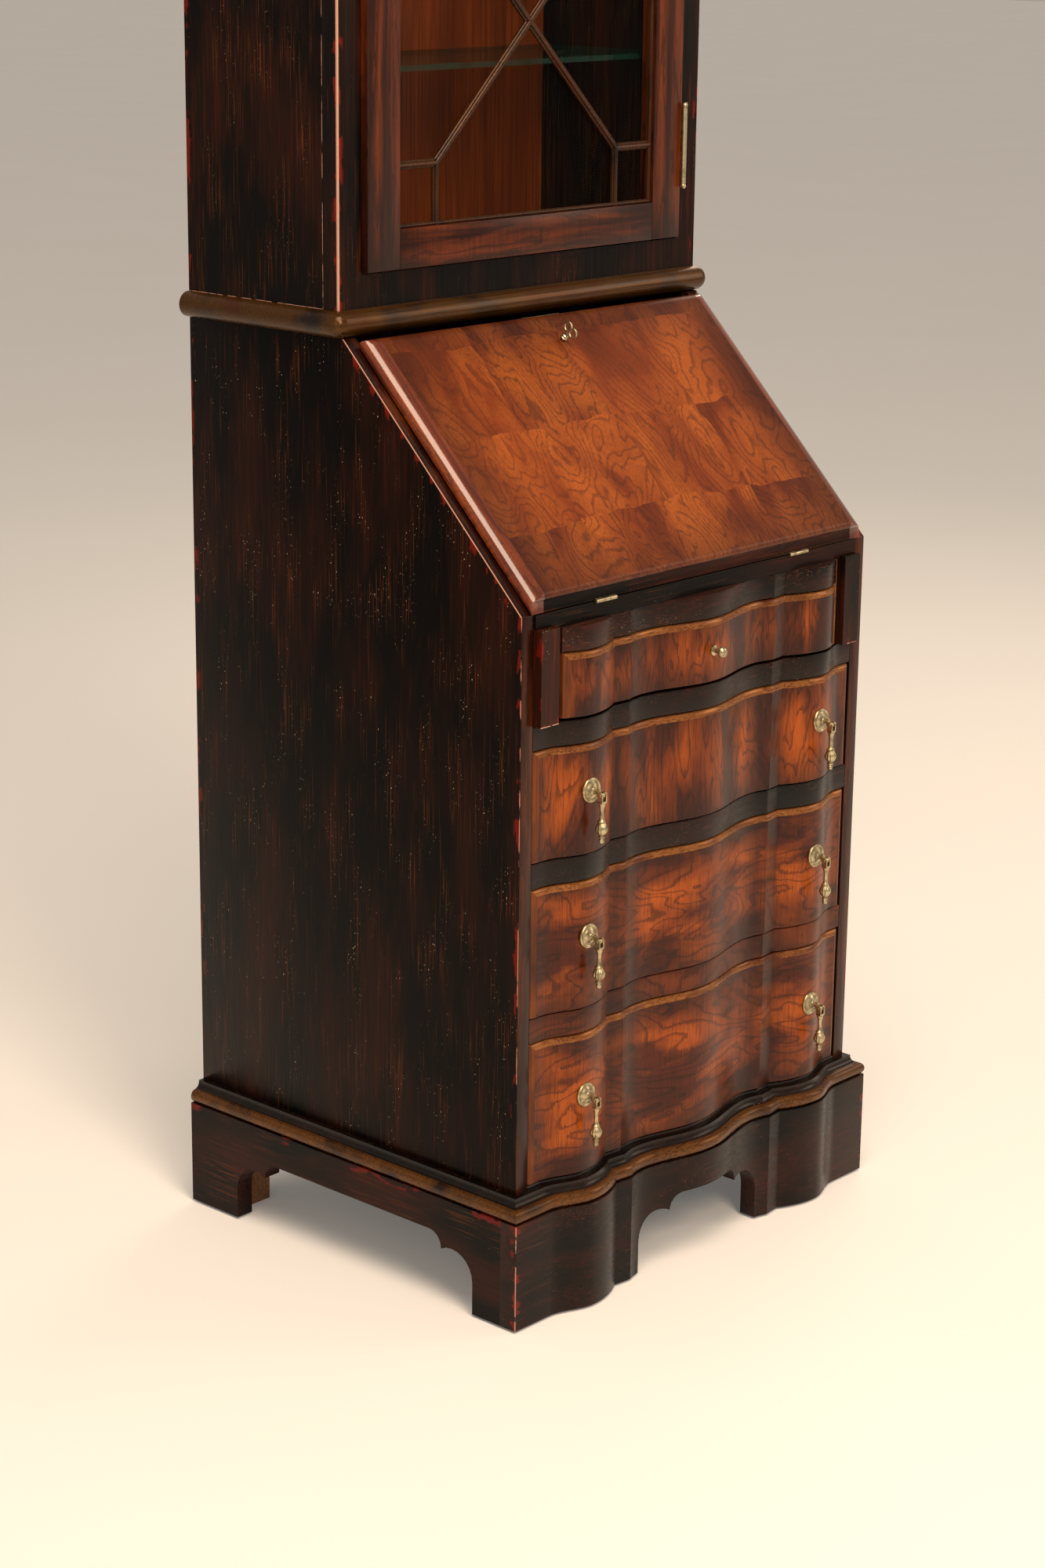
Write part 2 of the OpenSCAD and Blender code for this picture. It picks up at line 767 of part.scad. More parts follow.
module lid_panel() {
  gap = lid_barrel_r + hinge_gap;
  color(veneer) in_frame() difference() {
    on_slant() intersection() {
      translate([-case_w, 0, 0]) rotate([90, 0, 90]) linear_extrude(2 * case_w) polygon(lid_rise());
      translate([0, 2 * lid_high, 0]) rotate([90, 0, 0]) linear_extrude(3 * lid_high) polygon(lid_across());
    }
    at_lid_hinges() translate([-hinge_gap, 0, 0]) rotate([0, 90, 0])
      cylinder(r = gap, h = lid_hinge_len + 2 * hinge_gap);
    on_slant() {
      for (s = [-1, 1]) translate([s * lid_hinge_x - lid_hinge_len / 2 - leaf_gap, 0, -1])
        cube([lid_hinge_len + 2 * leaf_gap, lid_leaf_w + leaf_gap, leaf_t + leaf_gap + 1]);
      block(-lock_w / 2 - leaf_gap, lock_w / 2 + leaf_gap, lid_high - lock_h - leaf_gap, lid_high + 1,
        -1, lock_t);
      translate([0, key_y, 0]) cylinder(r = keyhole_r, h = lid_t + 1);
    }
  }
}

// The lid's leaves, each with the two outer knuckles of its barrel
module lid_hinge_leaves() {
  color(brass) in_frame() difference() {
    union() {
      on_slant() for (s = [-1, 1])
        translate([s * lid_hinge_x - lid_hinge_len / 2, 0, leaf_gap])
          cube([lid_hinge_len, lid_leaf_w, leaf_t]);
      at_lid_hinges() rotate([0, 90, 0]) cylinder(r = lid_barrel_r, h = lid_hinge_len);
    }
    at_lid_hinges() translate([lid_hinge_len / 3 - leaf_gap, 0, 0]) rotate([0, 90, 0])
      cylinder(r = lid_barrel_r + hinge_gap, h = lid_hinge_len / 3 + 2 * leaf_gap);
    at_lid_hinges() translate([-1, 0, 0]) rotate([0, 90, 0])
      cylinder(r = pin_r + pin_gap, h = lid_hinge_len + 2);
  }
}

// The bed's leaves, each with the middle knuckle and the pin
module bed_hinge_leaves() {
  middle = lid_hinge_len / 3;
  clear = lid_barrel_r + hinge_gap;
  color(brass) in_frame() at_lid_hinges() {
    translate([0, clear, -leaf_t - leaf_gap]) cube([lid_hinge_len, lid_leaf_w - clear, leaf_t]);
    translate([middle, 0, -leaf_t - leaf_gap]) cube([middle, lid_leaf_w, leaf_t]);
    translate([middle, 0, 0]) rotate([0, 90, 0]) cylinder(r = lid_barrel_r, h = middle);
    rotate([0, 90, 0]) cylinder(r = pin_r, h = lid_hinge_len);
  }
}

module lid_lock() {
  color(brass) in_frame() on_slant() difference() {
    block(-lock_w / 2, lock_w / 2, lid_high - lock_h, lid_high, 0, lock_t);
    block(-bolt_w / 2 - bolt_gap, bolt_w / 2 + bolt_gap, lid_high - bolt_len - bolt_gap, lid_high + 1,
      bolt_z - bolt_gap, bolt_z + bolt_t + bolt_gap);
    translate([0, key_y, 2]) cylinder(r = keyhole_r, h = lock_t);
  }
}

module lock_bolt() {
  color(brass) in_frame() on_slant()
    block(-bolt_w / 2, bolt_w / 2, lid_high - bolt_len, lid_high, bolt_z, bolt_z + bolt_t);
}

// The hole in the waist board that takes the bolt
module bolt_hole() {
  gap = 1;
  on_slant() block(-bolt_w / 2 - gap, bolt_w / 2 + gap, lid_high, lid_high + bolt_travel + 2 * gap,
    bolt_z - gap, bolt_z + bolt_t + gap);
}

// A key with a heart-shaped bow, standing in the lid's keyhole
module key() {
  shank_r = 2;
  collar_z = lid_t + 3;
  bow_z = collar_z + 14;
  bow_r = 6.2;
  bow_x = 4.6;
  bow_t = 2.6;
  wire = 2.2;
  color(brass) in_frame() on_slant() translate([0, key_y, 0]) {
    translate([0, 0, 2.6]) cylinder(r = shank_r, h = bow_z - bow_r - 2);
    translate([0, 0, collar_z]) cylinder(r = 3.6, h = 4.5);
    translate([-bow_t / 2, 0, 0]) rotate([90, 0, 90]) linear_extrude(bow_t) difference() {
      for (s = [-1, 1]) translate([s * bow_x, bow_z]) circle(bow_r);
      for (s = [-1, 1]) translate([s * bow_x, bow_z]) circle(bow_r - wire);
    }
  }
}

// ---- gallery ----

// Pigeonholes above a row of three compartments, the middle one with a drawer
module gallery() {
  shelf_z = small_z + small_drawer_h;
  y1 = case_d - back_t - gallery_t;
  side_w = inner_half - small_half - 2 * gallery_t;
  color(inner_wood) in_frame() difference() {
    block(-inner_half, inner_half, gallery_front, case_d - back_t, bed_z, bed_z + gallery_h);
    for (i = [0:pigeonhole_n - 1]) let(x = -inner_half + gallery_t + i * (pigeonhole_w + gallery_t))
      block(x, x + pigeonhole_w, gallery_front - 1, y1, shelf_z + gallery_t, bed_z + gallery_h - gallery_t);
    block(-small_half, small_half, gallery_front - 1, y1, small_z, shelf_z);
    for (s = [0, 1]) mirror([s, 0, 0])
      block(small_half + gallery_t, small_half + gallery_t + side_w, gallery_front - 1, y1, small_z, shelf_z);
  }
}

// Bottom, walls, front and knob of the small drawer
module gallery_drawer() {
  x = small_half - small_gap;
  z0 = small_z + small_gap / 2;
  z_top = small_z + small_drawer_h - small_gap;
  color(veneer) in_frame() {
    difference() {
      block(-x, x, gallery_front, gallery_front + small_d, z0, z_top);
      block(-x + small_wall, x - small_wall,
        gallery_front + small_front_t, gallery_front + small_d - small_wall,
        z0 + small_wall, z_top + 1);
      knob_bore(0, gallery_front, z0 + small_drawer_h / 2);
    }
    knob(0, gallery_front, z0 + small_drawer_h / 2);
  }
}

// ---- bookcase ----

module bookcase_side() {
  block(inner_half, half_w, book_y + frame_t, case_d, book_z, book_top);
}

module bookcase_side_left() {
  color(ebony) in_frame() mirror([1, 0, 0]) bookcase_side();
}

module bookcase_side_right() {
  color(ebony) in_frame() bookcase_side();
}

module bookcase_boards() {
  color(rubbed) in_frame() for (z = [book_z, book_top - board_t])
    block(-inner_half, inner_half, book_y + frame_t, case_d - back_t, z, z + board_t);
}

module bookcase_back() {
  color(veneer) in_frame() block(-inner_half, inner_half, case_d - back_t, case_d, book_z, book_top);
}

module face_frame() {
  x = half_w - frame_stile_w;
  color(ebony) in_frame() difference() {
    block(-half_w, half_w, book_y, book_y + frame_t, book_z, book_top);
    block(-x, x, book_y - 1, book_y + frame_t + 1, book_z + frame_rail_h, book_top - frame_rail_h);
  }
}

// How far the cornice stands out at a share u of its height: a bead, a cove and a square top
function cornice_at(u) =
  u < 0.12 ? 5 :
  u < 0.76 ? 5 + (cornice_out - 8) * (1 - sqrt(1 - pow((u - 0.12) / 0.64, 2))) :
  cornice_out;

module cornice() {
  n = 14;
  color(rubbed) in_frame() difference() {
    for (i = [0:n - 1]) let(out = cornice_at((i + 0.5) / n), z = book_top + i * cornice_h / n)
      block(-half_w - out, half_w + out, book_y - out, case_d, z, z + cornice_h / n + (i < n - 1 ? eps : 0));
    block(-inner_half, inner_half, book_y + frame_t, case_d - side_t,
      book_top - 1, book_top + cornice_h - 12);
  }
}

function shelf_z(i) = book_z + frame_rail_h + shelf_pitch * (i + 1);

module glass_shelves() {
  x = inner_half - shelf_gap;
  color("#a8cbb4", 0.5) in_frame() for (i = [0:shelf_n - 1])
    block(-x, x, shelf_y0, shelf_y1, shelf_z(i), shelf_z(i) + shelf_t);
}

// Four round pins under each shelf, let into the sides
module shelf_pins() {
  color(brass) in_frame() for (i = [0:shelf_n - 1]) for (s = [0, 1]) mirror([s, 0, 0])
    for (y = [shelf_y0 + 30, shelf_y1 - 30])
      translate([inner_half - pin_len, y, shelf_z(i) - shelf_pin_r]) rotate([0, 90, 0])
        cylinder(r = shelf_pin_r, h = pin_len);
}

// ---- door ----

module door_frame() {
  x = glass_half + pane_in + groove_gap;
  color(rubbed) in_frame() difference() {
    block(-door_half, door_half, door_y, door_y + door_t, door_z, door_z + door_h);
    block(-glass_half, glass_half, door_y - 1, door_y + door_t + 1, glass_z, glass_z + glass_h);
    block(-x, x, pane_y, pane_y + pane_t + groove_gap,
      glass_z - pane_in - groove_gap, glass_z + glass_h + pane_in + groove_gap);
    knob_bore(-door_half + door_stile_w / 2, door_y, glass_z + glass_h / 2);
  }
}

module door_glass() {
  x = glass_half + pane_in;
  color("#cfe0da", 0.35) in_frame()
    block(-x, x, pane_y, pane_y + pane_t, glass_z - pane_in, glass_z + glass_h + pane_in);
}

// One straight bar from a point to another, in the plane of the door
module bar(a, b) {
  d = b - a;
  translate([a[0], a[1]]) rotate(atan2(d[1], d[0])) translate([0, -bar_w / 2]) square([norm(d), bar_w]);
}

// The lattice of a quarter of the door: short bars in the corner and two slanted ones
module bar_quarter() {
  side = glass_half;
  corner = [bar_x, bar_corner_z];
  half_h = glass_h / 2;
  bar([bar_x, -1], corner + [0, bar_w / 2]);
  bar([side + 1, bar_corner_z], corner - [bar_w / 2, 0]);
  bar(corner, [-bar_x, bar_corner_z + 2 * bar_rise]);
  bar([bar_x, half_h], [side + 1, half_h]);
}

module glazing_bars() {
  color(rubbed) in_frame() translate([0, pane_y, glass_z]) rotate([90, 0, 0]) linear_extrude(bar_t) {
    bead_frame();
    intersection() {
      for (s = [0, 1]) for (t = [0, 1])
        translate([0, t * glass_h]) mirror([0, t]) mirror([s, 0]) bar_quarter();
      translate([-glass_half, 0]) square([2 * glass_half, glass_h]);
    }
  }
}

// The lattice's outer bead, against the inner edges of the door frame
module bead_frame() {
  inner = glass_half - bead_w;
  difference() {
    translate([-glass_half, 0]) square([2 * glass_half, glass_h]);
    translate([-inner, bead_w]) square([2 * inner, glass_h - 2 * bead_w]);
  }
}

// Places a child at the lower end of each door hinge's axis
module at_door_hinges() {
  for (z = door_hinge_zs) translate([door_axis_x, door_axis_y, z]) children();
}

module frame_hinge_leaves() {
  x = half_w - frame_stile_w - door_axis_x;
  color(brass) in_frame() at_door_hinges() {
    difference() {
      union() {
        cylinder(r = door_barrel_r, h = door_hinge_len);
        block(x - door_leaf_t, x, 0, door_leaf_w, 0, door_hinge_len);
      }
      for (i = [1, 3]) translate([0, 0, i * knuckle - leaf_gap / 2])
        cylinder(r = door_barrel_r + knuckle_cut, h = knuckle + leaf_gap);
    }
    cylinder(r = pin_r, h = door_hinge_len);
    for (z = [-finial_r * 0.8, door_hinge_len + finial_r * 0.8]) translate([0, 0, z]) sphere(finial_r);
  }
}

module door_hinge_leaves() {
  x = door_half - door_axis_x;
  color(brass) in_frame() at_door_hinges() difference() {
    union() {
      for (i = [1, 3]) translate([0, 0, i * knuckle]) cylinder(r = door_barrel_r, h = knuckle);
      block(x, x + door_leaf_t, door_barrel_r + knuckle_gap, door_leaf_w, 0, door_hinge_len);
      for (i = [1, 3]) block(x, x + door_leaf_t, 0, door_leaf_w, i * knuckle, (i + 1) * knuckle);
    }
    translate([0, 0, -1]) cylinder(r = pin_r + pin_gap, h = door_hinge_len + 2);
  }
}

module door_knob() {
  color(brass) in_frame() knob(-door_half + door_stile_w / 2, door_y, glass_z + glass_h / 2);
}

plinth_front();
plinth_side_left();
plinth_side_right();
plinth_back();
plinth_moulding();
corner_blocks();
glides();
side_left();
side_right();
case_bottom();
case_back();
waist_board();
writing_bed();
apron_rail();
rail_upper();
rail_middle();
rail_lower();
drawer_guides();
bed_hinge_leaves();
gallery();
gallery_drawer();
loper_left();
loper_right();
drawer_1_front();
drawer_1_box();
drawer_1_knob();
drawer_2_front();
drawer_2_box();
drawer_2_rosettes();
drop_2_left();
drop_2_right();
drawer_3_front();
drawer_3_box();
drawer_3_rosettes();
drop_3_left();
drop_3_right();
drawer_4_front();
drawer_4_box();
drawer_4_rosettes();
drop_4_left();
drop_4_right();
lid_panel();
lid_hinge_leaves();
lid_lock();
lock_bolt();
key();
bookcase_side_left();
bookcase_side_right();
bookcase_boards();
bookcase_back();
face_frame();
cornice();
glass_shelves();
shelf_pins();
frame_hinge_leaves();
door_frame();
door_glass();
glazing_bars();
door_hinge_leaves();
door_knob();
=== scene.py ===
import math
import bpy
from mathutils import Matrix, Vector


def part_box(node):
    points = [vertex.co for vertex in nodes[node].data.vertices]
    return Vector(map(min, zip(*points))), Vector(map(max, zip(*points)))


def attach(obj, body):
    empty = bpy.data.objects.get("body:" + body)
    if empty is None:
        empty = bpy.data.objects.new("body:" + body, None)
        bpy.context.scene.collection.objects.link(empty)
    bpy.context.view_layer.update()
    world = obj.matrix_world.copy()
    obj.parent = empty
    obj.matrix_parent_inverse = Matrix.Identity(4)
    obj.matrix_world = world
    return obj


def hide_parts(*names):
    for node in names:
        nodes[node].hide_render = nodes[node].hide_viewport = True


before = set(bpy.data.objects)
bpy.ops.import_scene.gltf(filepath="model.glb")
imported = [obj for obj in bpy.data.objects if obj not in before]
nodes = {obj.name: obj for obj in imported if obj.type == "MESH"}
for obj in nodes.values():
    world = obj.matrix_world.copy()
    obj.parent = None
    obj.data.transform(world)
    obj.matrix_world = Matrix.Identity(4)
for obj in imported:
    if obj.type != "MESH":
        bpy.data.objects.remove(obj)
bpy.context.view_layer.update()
mm = 0.001
print("frame loaded,", len(nodes), "nodes")

# Driving places, read from the frame
sideLow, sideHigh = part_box("side_right")
caseHalf = sideHigh.x
innerHalf = sideLow.x
frontY = sideLow.y
backY = sideHigh.y
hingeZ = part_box("writing_bed")[1].z
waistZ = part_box("waist_board")[0].z
slantNormal = Vector((0, -1, 1)).normalized()
slantUp = Vector((0, 1, 1)).normalized()


# Materials

def linear(hexColour, alpha=1.0):
    channels = [int(hexColour[i:i + 2], 16) / 255 for i in (1, 3, 5)]
    return tuple(c / 12.92 if c <= 0.04045 else ((c + 0.055) / 1.055) ** 2.4 for c in channels) + (alpha,)


def addNode(tree, kind, inputs=None, ramp=None, **settings):
    node = tree.nodes.new(kind)
    for key, value in settings.items():
        setattr(node, key, value)
    for key, value in (inputs or {}).items():
        if isinstance(value, bpy.types.NodeSocket):
            tree.links.new(value, node.inputs[key])
        else:
            node.inputs[key].default_value = value
    if ramp:
        stops = node.color_ramp.elements
        while len(stops) < len(ramp):
            stops.new(0.5)
        for stop, (place, colour) in zip(stops, ramp):
            stop.position = place
            stop.color = linear(colour)
    return node


def startMaterial(name):
    material = bpy.data.materials.new(name)
    material.use_nodes = True
    tree = material.node_tree
    tree.nodes.clear()
    shader = addNode(tree, "ShaderNodeBsdfPrincipled")
    addNode(tree, "ShaderNodeOutputMaterial", {"Surface": shader.outputs["BSDF"]})
    where = addNode(tree, "ShaderNodeTexCoord").outputs["Object"]
    return material, tree, shader, where


def finish(tree, shader, colour, roughness, height, strength, depth, level=0.5):
    # Joins colour and roughness to the shader, with the relief of the height given, its depth in millimetres
    relief = {"Strength": strength, "Distance": depth * mm, "Height": height}
    bump = addNode(tree, "ShaderNodeBump", relief)
    for key, value in (("Base Color", colour), ("Normal", bump.outputs[0]), ("Roughness", roughness)):
        tree.links.new(value, shader.inputs[key])
    shader.inputs["Specular IOR Level"].default_value = level


def blotch(tree, where, sizes, detail=3.0, shift=(0, 0, 0), distortion=0.0):
    # Noise whose blotches measure about the given millimetres along x, y and z
    scales = tuple(1 / (size * mm) for size in sizes)
    placed = addNode(tree, "ShaderNodeMapping", {"Vector": where, "Scale": scales, "Location": shift})
    noise = addNode(tree, "ShaderNodeTexNoise", {"Vector": placed.outputs[0], "Scale": 1.0, "Detail": detail,
                                                 "Distortion": distortion})
    return noise.outputs["Fac"]


def between(tree, value, low, high, toLow=0.0, toHigh=1.0):
    return addNode(tree, "ShaderNodeMapRange", {"Value": value, "From Min": low, "From Max": high,
                                                "To Min": toLow, "To Max": toHigh}).outputs[0]


def times(tree, first, second):
    return addNode(tree, "ShaderNodeMath", {0: first, 1: second}, operation="MULTIPLY").outputs[0]


def layOver(tree, under, over, amount):
    over = linear(over) if isinstance(over, str) else over
    under = linear(under) if isinstance(under, str) else under
    return addNode(tree, "ShaderNodeMix", {0: amount, 6: under, 7: over}, data_type="RGBA").outputs[2]


def planeAt(axis, place, inward):
    # A plane square to an axis, as a point on it and the direction that leads inside
    point = tuple(place if each == axis else 0 for each in "xyz")
    return point, tuple(inward if each == axis else 0 for each in "xyz")


def nearPlane(tree, where, point, inward, width):
    # 1 on the plane through the point, falling to 0 at the given distance inside it
    start = Vector(inward).dot(Vector(point))
    along = addNode(tree, "ShaderNodeVectorMath", {0: where, 1: tuple(inward)}, operation="DOT_PRODUCT")
    return between(tree, along.outputs["Value"], start, start + width, 1.0, 0.0)


def strongestOf(tree, values):
    strongest = values[0]
    for value in values[1:]:
        strongest = addNode(tree, "ShaderNodeMath", {0: strongest, 1: value}, operation="MAXIMUM").outputs[0]
    return strongest


def nearEdges(tree, where, edges, width):
    return strongestOf(tree, [nearPlane(tree, where, point, inward, width) for point, inward in edges])


def nearArrises(tree, where, arrises, width):
    # An arris is where two planes, each given by a point and its inward direction, meet
    both = [(nearPlane(tree, where, *first, width), nearPlane(tree, where, *second, width))
            for first, second in arrises]
    return strongestOf(tree, [times(tree, first, second) for first, second in both])


def stretched(grain, across, along):
    # Sizes for blotch(): long along the grain axis and narrow across it
    return tuple(along if axis == grain else across for axis in "xyz")


def ebonisedLacquer(name, grain="z", arrises=(), shift=0.0, warmth=0.5, streak=0.5, specks=0.5,
                    gloss=0.09, wearAndHighlightLines=()):
    # Black-brown lacquer over red and gold grounds, rubbed through in hair-thin streaks along the grain.
    # It has a satin gloss, red patches at the arrises and a few pale specks.
    # The pale lines given are partly wear and partly a painted highlight along an arris: (arris, width in mm,
    # a share that is low where the line is unbroken).
    material, tree, shader, where = startMaterial(name)
    offset = (shift, shift * 0.7, shift * 1.3)
    cloud = blotch(tree, where, stretched(grain, 60, 190), 3, offset)
    fibre = blotch(tree, where, stretched(grain, 3.4, 110), 4, offset)
    hair = blotch(tree, where, stretched(grain, 1.1, 75), 2, offset)
    flake = blotch(tree, where, stretched(grain, 1.2, 3), 1, offset)
    group = blotch(tree, where, stretched(grain, 26, 90), 2, (shift * 2, shift, shift))
    colour = layOver(tree, "#080504", "#2a120a", times(tree, between(tree, cloud, 0.42, 0.68), warmth * 1.2))
    reddened = times(tree, between(tree, fibre, 0.52, 0.70), between(tree, cloud, 0.44, 0.62))
    colour = layOver(tree, colour, "#3f1409", times(tree, reddened, warmth))
    rubbed = times(tree, between(tree, hair, 0.58, 0.70), between(tree, group, 0.42, 0.62))
    colour = layOver(tree, colour, "#7c4116", times(tree, rubbed, streak))
    pale = times(tree, between(tree, flake, 0.73, 0.77), between(tree, group, 0.50, 0.60))
    colour = layOver(tree, colour, "#e0c8a4", times(tree, pale, specks))
    patch = blotch(tree, where, stretched(grain, 11, 34), 4, offset)
    if arrises:
        worn = times(tree, nearArrises(tree, where, arrises, 13 * mm), between(tree, patch, 0.53, 0.60))
        colour = layOver(tree, colour, "#66150a", times(tree, between(tree, worn, 0.3, 0.6), 0.85))
    # Pale lines on the arrises: wear through the lacquer, together with a painted highlight where the arris
    # catches the light
    for arris, width, broken in wearAndHighlightLines:
        unbroken = between(tree, patch, broken, broken + 0.12)
        worn = times(tree, nearArrises(tree, where, [arris], width * mm), unbroken)
        colour = layOver(tree, colour, "#cf9f8a", times(tree, between(tree, worn, 0.2, 0.6), 0.9))
    finish(tree, shader, colour, between(tree, fibre, 0.3, 0.7, 0.22, 0.36), fibre, 0.25, 0.3, gloss)
    return material


def figuredVeneer(name, shift=0.0, turn=0.0, edges=(), leaf=None, rings=13.0, dark="#1c0803",
                  middle="#562006", bright="#a34d10", contrast=1.0, shade=0.75, tilt=0.0,
                  size=(150, 150, 90), rough=0.24, nooks=(), edgeReach=45):
    # Crotch-figured veneer under glossy shellac: bright flames with dark contour lines that follow them
    material, tree, shader, where = startMaterial(name)
    laid = addNode(tree, "ShaderNodeMapping", {"Vector": where, "Rotation": (tilt, 0, 0)}).outputs[0]
    placed = laid
    if leaf:
        # A patchwork of leaves, each cut from another part of the flitch
        wobble = addNode(tree, "ShaderNodeTexNoise", {"Vector": laid, "Scale": 14.0, "Detail": 2.0})
        moved = addNode(tree, "ShaderNodeVectorMath", {0: wobble.outputs["Color"], 1: (0.5, 0.5, 0.5)},
                        operation="SUBTRACT")
        sway = {0: moved.outputs[0], 1: (0.03, 0.03, 0.03), 2: laid}
        shifted = addNode(tree, "ShaderNodeVectorMath", sway, operation="MULTIPLY_ADD")
        cell = addNode(tree, "ShaderNodeVectorMath", {0: shifted.outputs[0], 1: leaf}, operation="SNAP")
        chance = addNode(tree, "ShaderNodeTexWhiteNoise", {"Vector": cell.outputs[0]})
        leap = {0: chance.outputs["Color"], 1: (3.0, 3.0, 3.0), 2: laid}
        jump = addNode(tree, "ShaderNodeVectorMath", leap, operation="MULTIPLY_ADD")
        placed = jump.outputs[0]
    offset = (shift, shift * 1.7, shift * 0.6)
    scales = tuple(1 / (value * mm) for value in size)
    turned = addNode(tree, "ShaderNodeMapping", {"Vector": placed, "Scale": scales, "Location": offset,
                                                 "Rotation": (0, turn, 0)}).outputs[0]
    field = addNode(tree, "ShaderNodeTexNoise", {"Vector": turned, "Scale": 1.0, "Detail": 2.5,
                                                 "Roughness": 0.5, "Distortion": 0.35}).outputs["Fac"]
    fine = blotch(tree, placed, (1.6, 9, 14), 3, offset)
    wander = addNode(tree, "ShaderNodeMath", {0: fine, 1: 0.55, 2: times(tree, field, rings)},
                     operation="MULTIPLY_ADD").outputs[0]
    ring = addNode(tree, "ShaderNodeMath", {0: wander}, operation="FRACT").outputs[0]
    line = addNode(tree, "ShaderNodeValToRGB", {"Fac": ring}, ramp=[(0.0, "#000000"), (0.16, "#5a5a5a"),
                                                                    (0.46, "#ffffff"), (1.0, "#ffffff")])
    flame = blotch(tree, placed, tuple(value * 0.75 for value in size), 5, (shift * 2.1, 3.0, shift), 0.5)
    colour = layOver(tree, middle, bright, times(tree, between(tree, flame, 0.42, 0.62), contrast))
    colour = layOver(tree, colour, dark, times(tree, between(tree, flame, 0.45, 0.30), 0.6))
    thread = blotch(tree, placed, (1.4, 4, 40), 3, offset)
    colour = layOver(tree, colour, dark, times(tree, between(tree, thread, 0.46, 0.66), 0.4))
    lines = times(tree, between(tree, line.outputs["Color"], 0.55, 0.0), 0.62)
    colour = layOver(tree, colour, dark, lines)
    colour = layOver(tree, colour, dark, times(tree, between(tree, fine, 0.56, 0.72), 0.45))
    if leaf:
        luck = chance.outputs["Value"]
        colour = layOver(tree, colour, "#8a3c0c", times(tree, luck, 0.3))
        colour = layOver(tree, colour, "#3a1406", times(tree, between(tree, luck, 0.35, 0.0), 0.5))
    # Darker towards the given edges, fading out over the reach given in millimetres
    if edges:
        edgeDarkening = times(tree, nearEdges(tree, where, edges, edgeReach * mm), shade)
        colour = layOver(tree, colour, "#1c0a06", edgeDarkening)
    for place, width in nooks:
        # Painted shade in a valley of the swelled front, where the dip would lie in shadow, the same on both
        # sides of the middle
        across = addNode(tree, "ShaderNodeVectorMath", {0: where}, operation="ABSOLUTE").outputs[0]
        away = addNode(tree, "ShaderNodeVectorMath", {0: across, 1: (place * mm, 0, 0)}, operation="SUBTRACT")
        apart = addNode(tree, "ShaderNodeVectorMath", {0: away.outputs[0]}, operation="ABSOLUTE").outputs[0]
        gap = addNode(tree, "ShaderNodeSeparateXYZ", {"Vector": apart}).outputs["X"]
        valley = between(tree, gap, 0.0, width * mm, 1.0, 0.0)
        colour = layOver(tree, colour, "#1c0a06", times(tree, valley, 0.62))
    finish(tree, shader, colour, between(tree, flame, 0.3, 0.7, rough, rough + 0.1), fine, 0.12, 0.2, 0.24)
    return material


def rubbedBronze(name, grain="x", shift=0.0, deep="#20110a", gold="#8c5a26", gilt=0.75):
    # Bronze powder rubbed off the high parts of a dark lacquered moulding, streaked along its run
    material, tree, shader, where = startMaterial(name)
    offset = (shift, shift, shift)
    cloud = blotch(tree, where, stretched(grain, 40, 70), 3, offset)
    fibre = blotch(tree, where, stretched(grain, 1.2, 90), 3, offset)
    worn = times(tree, between(tree, cloud, 0.28, 0.50), between(tree, fibre, 0.30, 0.55))
    colour = layOver(tree, deep, gold, times(tree, worn, gilt))
    colour = layOver(tree, colour, "#3f160b", times(tree, between(tree, cloud, 0.56, 0.72), 0.5))
    tree.links.new(times(tree, worn, 0.5), shader.inputs["Metallic"])
    finish(tree, shader, colour, between(tree, fibre, 0.3, 0.7, 0.20, 0.34), fibre, 0.25, 0.4, 0.3)
    return material


def plainWood(name, light, dark, grain="y", shift=0.0, roughness=0.55):
    # Quiet straight-grained secondary wood, sanded and barely finished
    material, tree, shader, where = startMaterial(name)
    offset = (shift, shift, shift)
    fibre = blotch(tree, where, stretched(grain, 3.0, 140), 5, offset)
    cloud = blotch(tree, where, stretched(grain, 45, 260), 2, offset)
    colour = layOver(tree, light, dark, between(tree, fibre, 0.36, 0.66))
    colour = layOver(tree, colour, dark, times(tree, between(tree, cloud, 0.4, 0.7), 0.6))
    shine = between(tree, fibre, 0.3, 0.7, roughness - 0.06, roughness + 0.06)
    finish(tree, shader, colour, shine, fibre, 0.2, 0.3)
    return material


def agedBrass(name, bright="#c2b491", deep="#5d5036", shift=0.0, rough=0.26):
    # Cast brass under a thin antique lacquer: pale on the worn parts, olive brown in the hollows
    material, tree, shader, where = startMaterial(name)
    cloud = blotch(tree, where, (6, 6, 6), 4, (shift, 0, 0))
    colour = layOver(tree, bright, deep, times(tree, between(tree, cloud, 0.42, 0.70), 0.75))
    tree.links.new(colour, shader.inputs["Base Color"])
    tree.links.new(between(tree, cloud, 0.3, 0.7, rough, rough + 0.2), shader.inputs["Roughness"])
    shader.inputs["Metallic"].default_value = 1.0
    return material


def floatGlass(name, tint, alpha):
    # Float glass: clear, faintly green, with the surface's thin reflection
    material, tree, shader, where = startMaterial(name)
    smear = blotch(tree, where, (180, 180, 180), 1)
    tree.links.new(between(tree, smear, 0.3, 0.7, 0.01, 0.03), shader.inputs["Roughness"])
    shader.inputs["Base Color"].default_value = linear(tint)
    shader.inputs["Alpha"].default_value = alpha
    shader.inputs["IOR"].default_value = 1.5
    return material


def mouldedGlide(name):
    # Moulded nylon, dull and slightly dirty
    material, tree, shader, where = startMaterial(name)
    cloud = blotch(tree, where, (8, 8, 8), 3)
    colour = layOver(tree, "#b3988a", "#7d655a", between(tree, cloud, 0.35, 0.7))
    tree.links.new(colour, shader.inputs["Base Color"])
    shader.inputs["Roughness"].default_value = 0.6
    return material


def paint(material, *names):
    for name in names:
        piece = nodes[name]
        if not piece.material_slots:
            piece.data.materials.append(material)
        for materialSlot in piece.material_slots:
            materialSlot.material = material


# Making new pieces

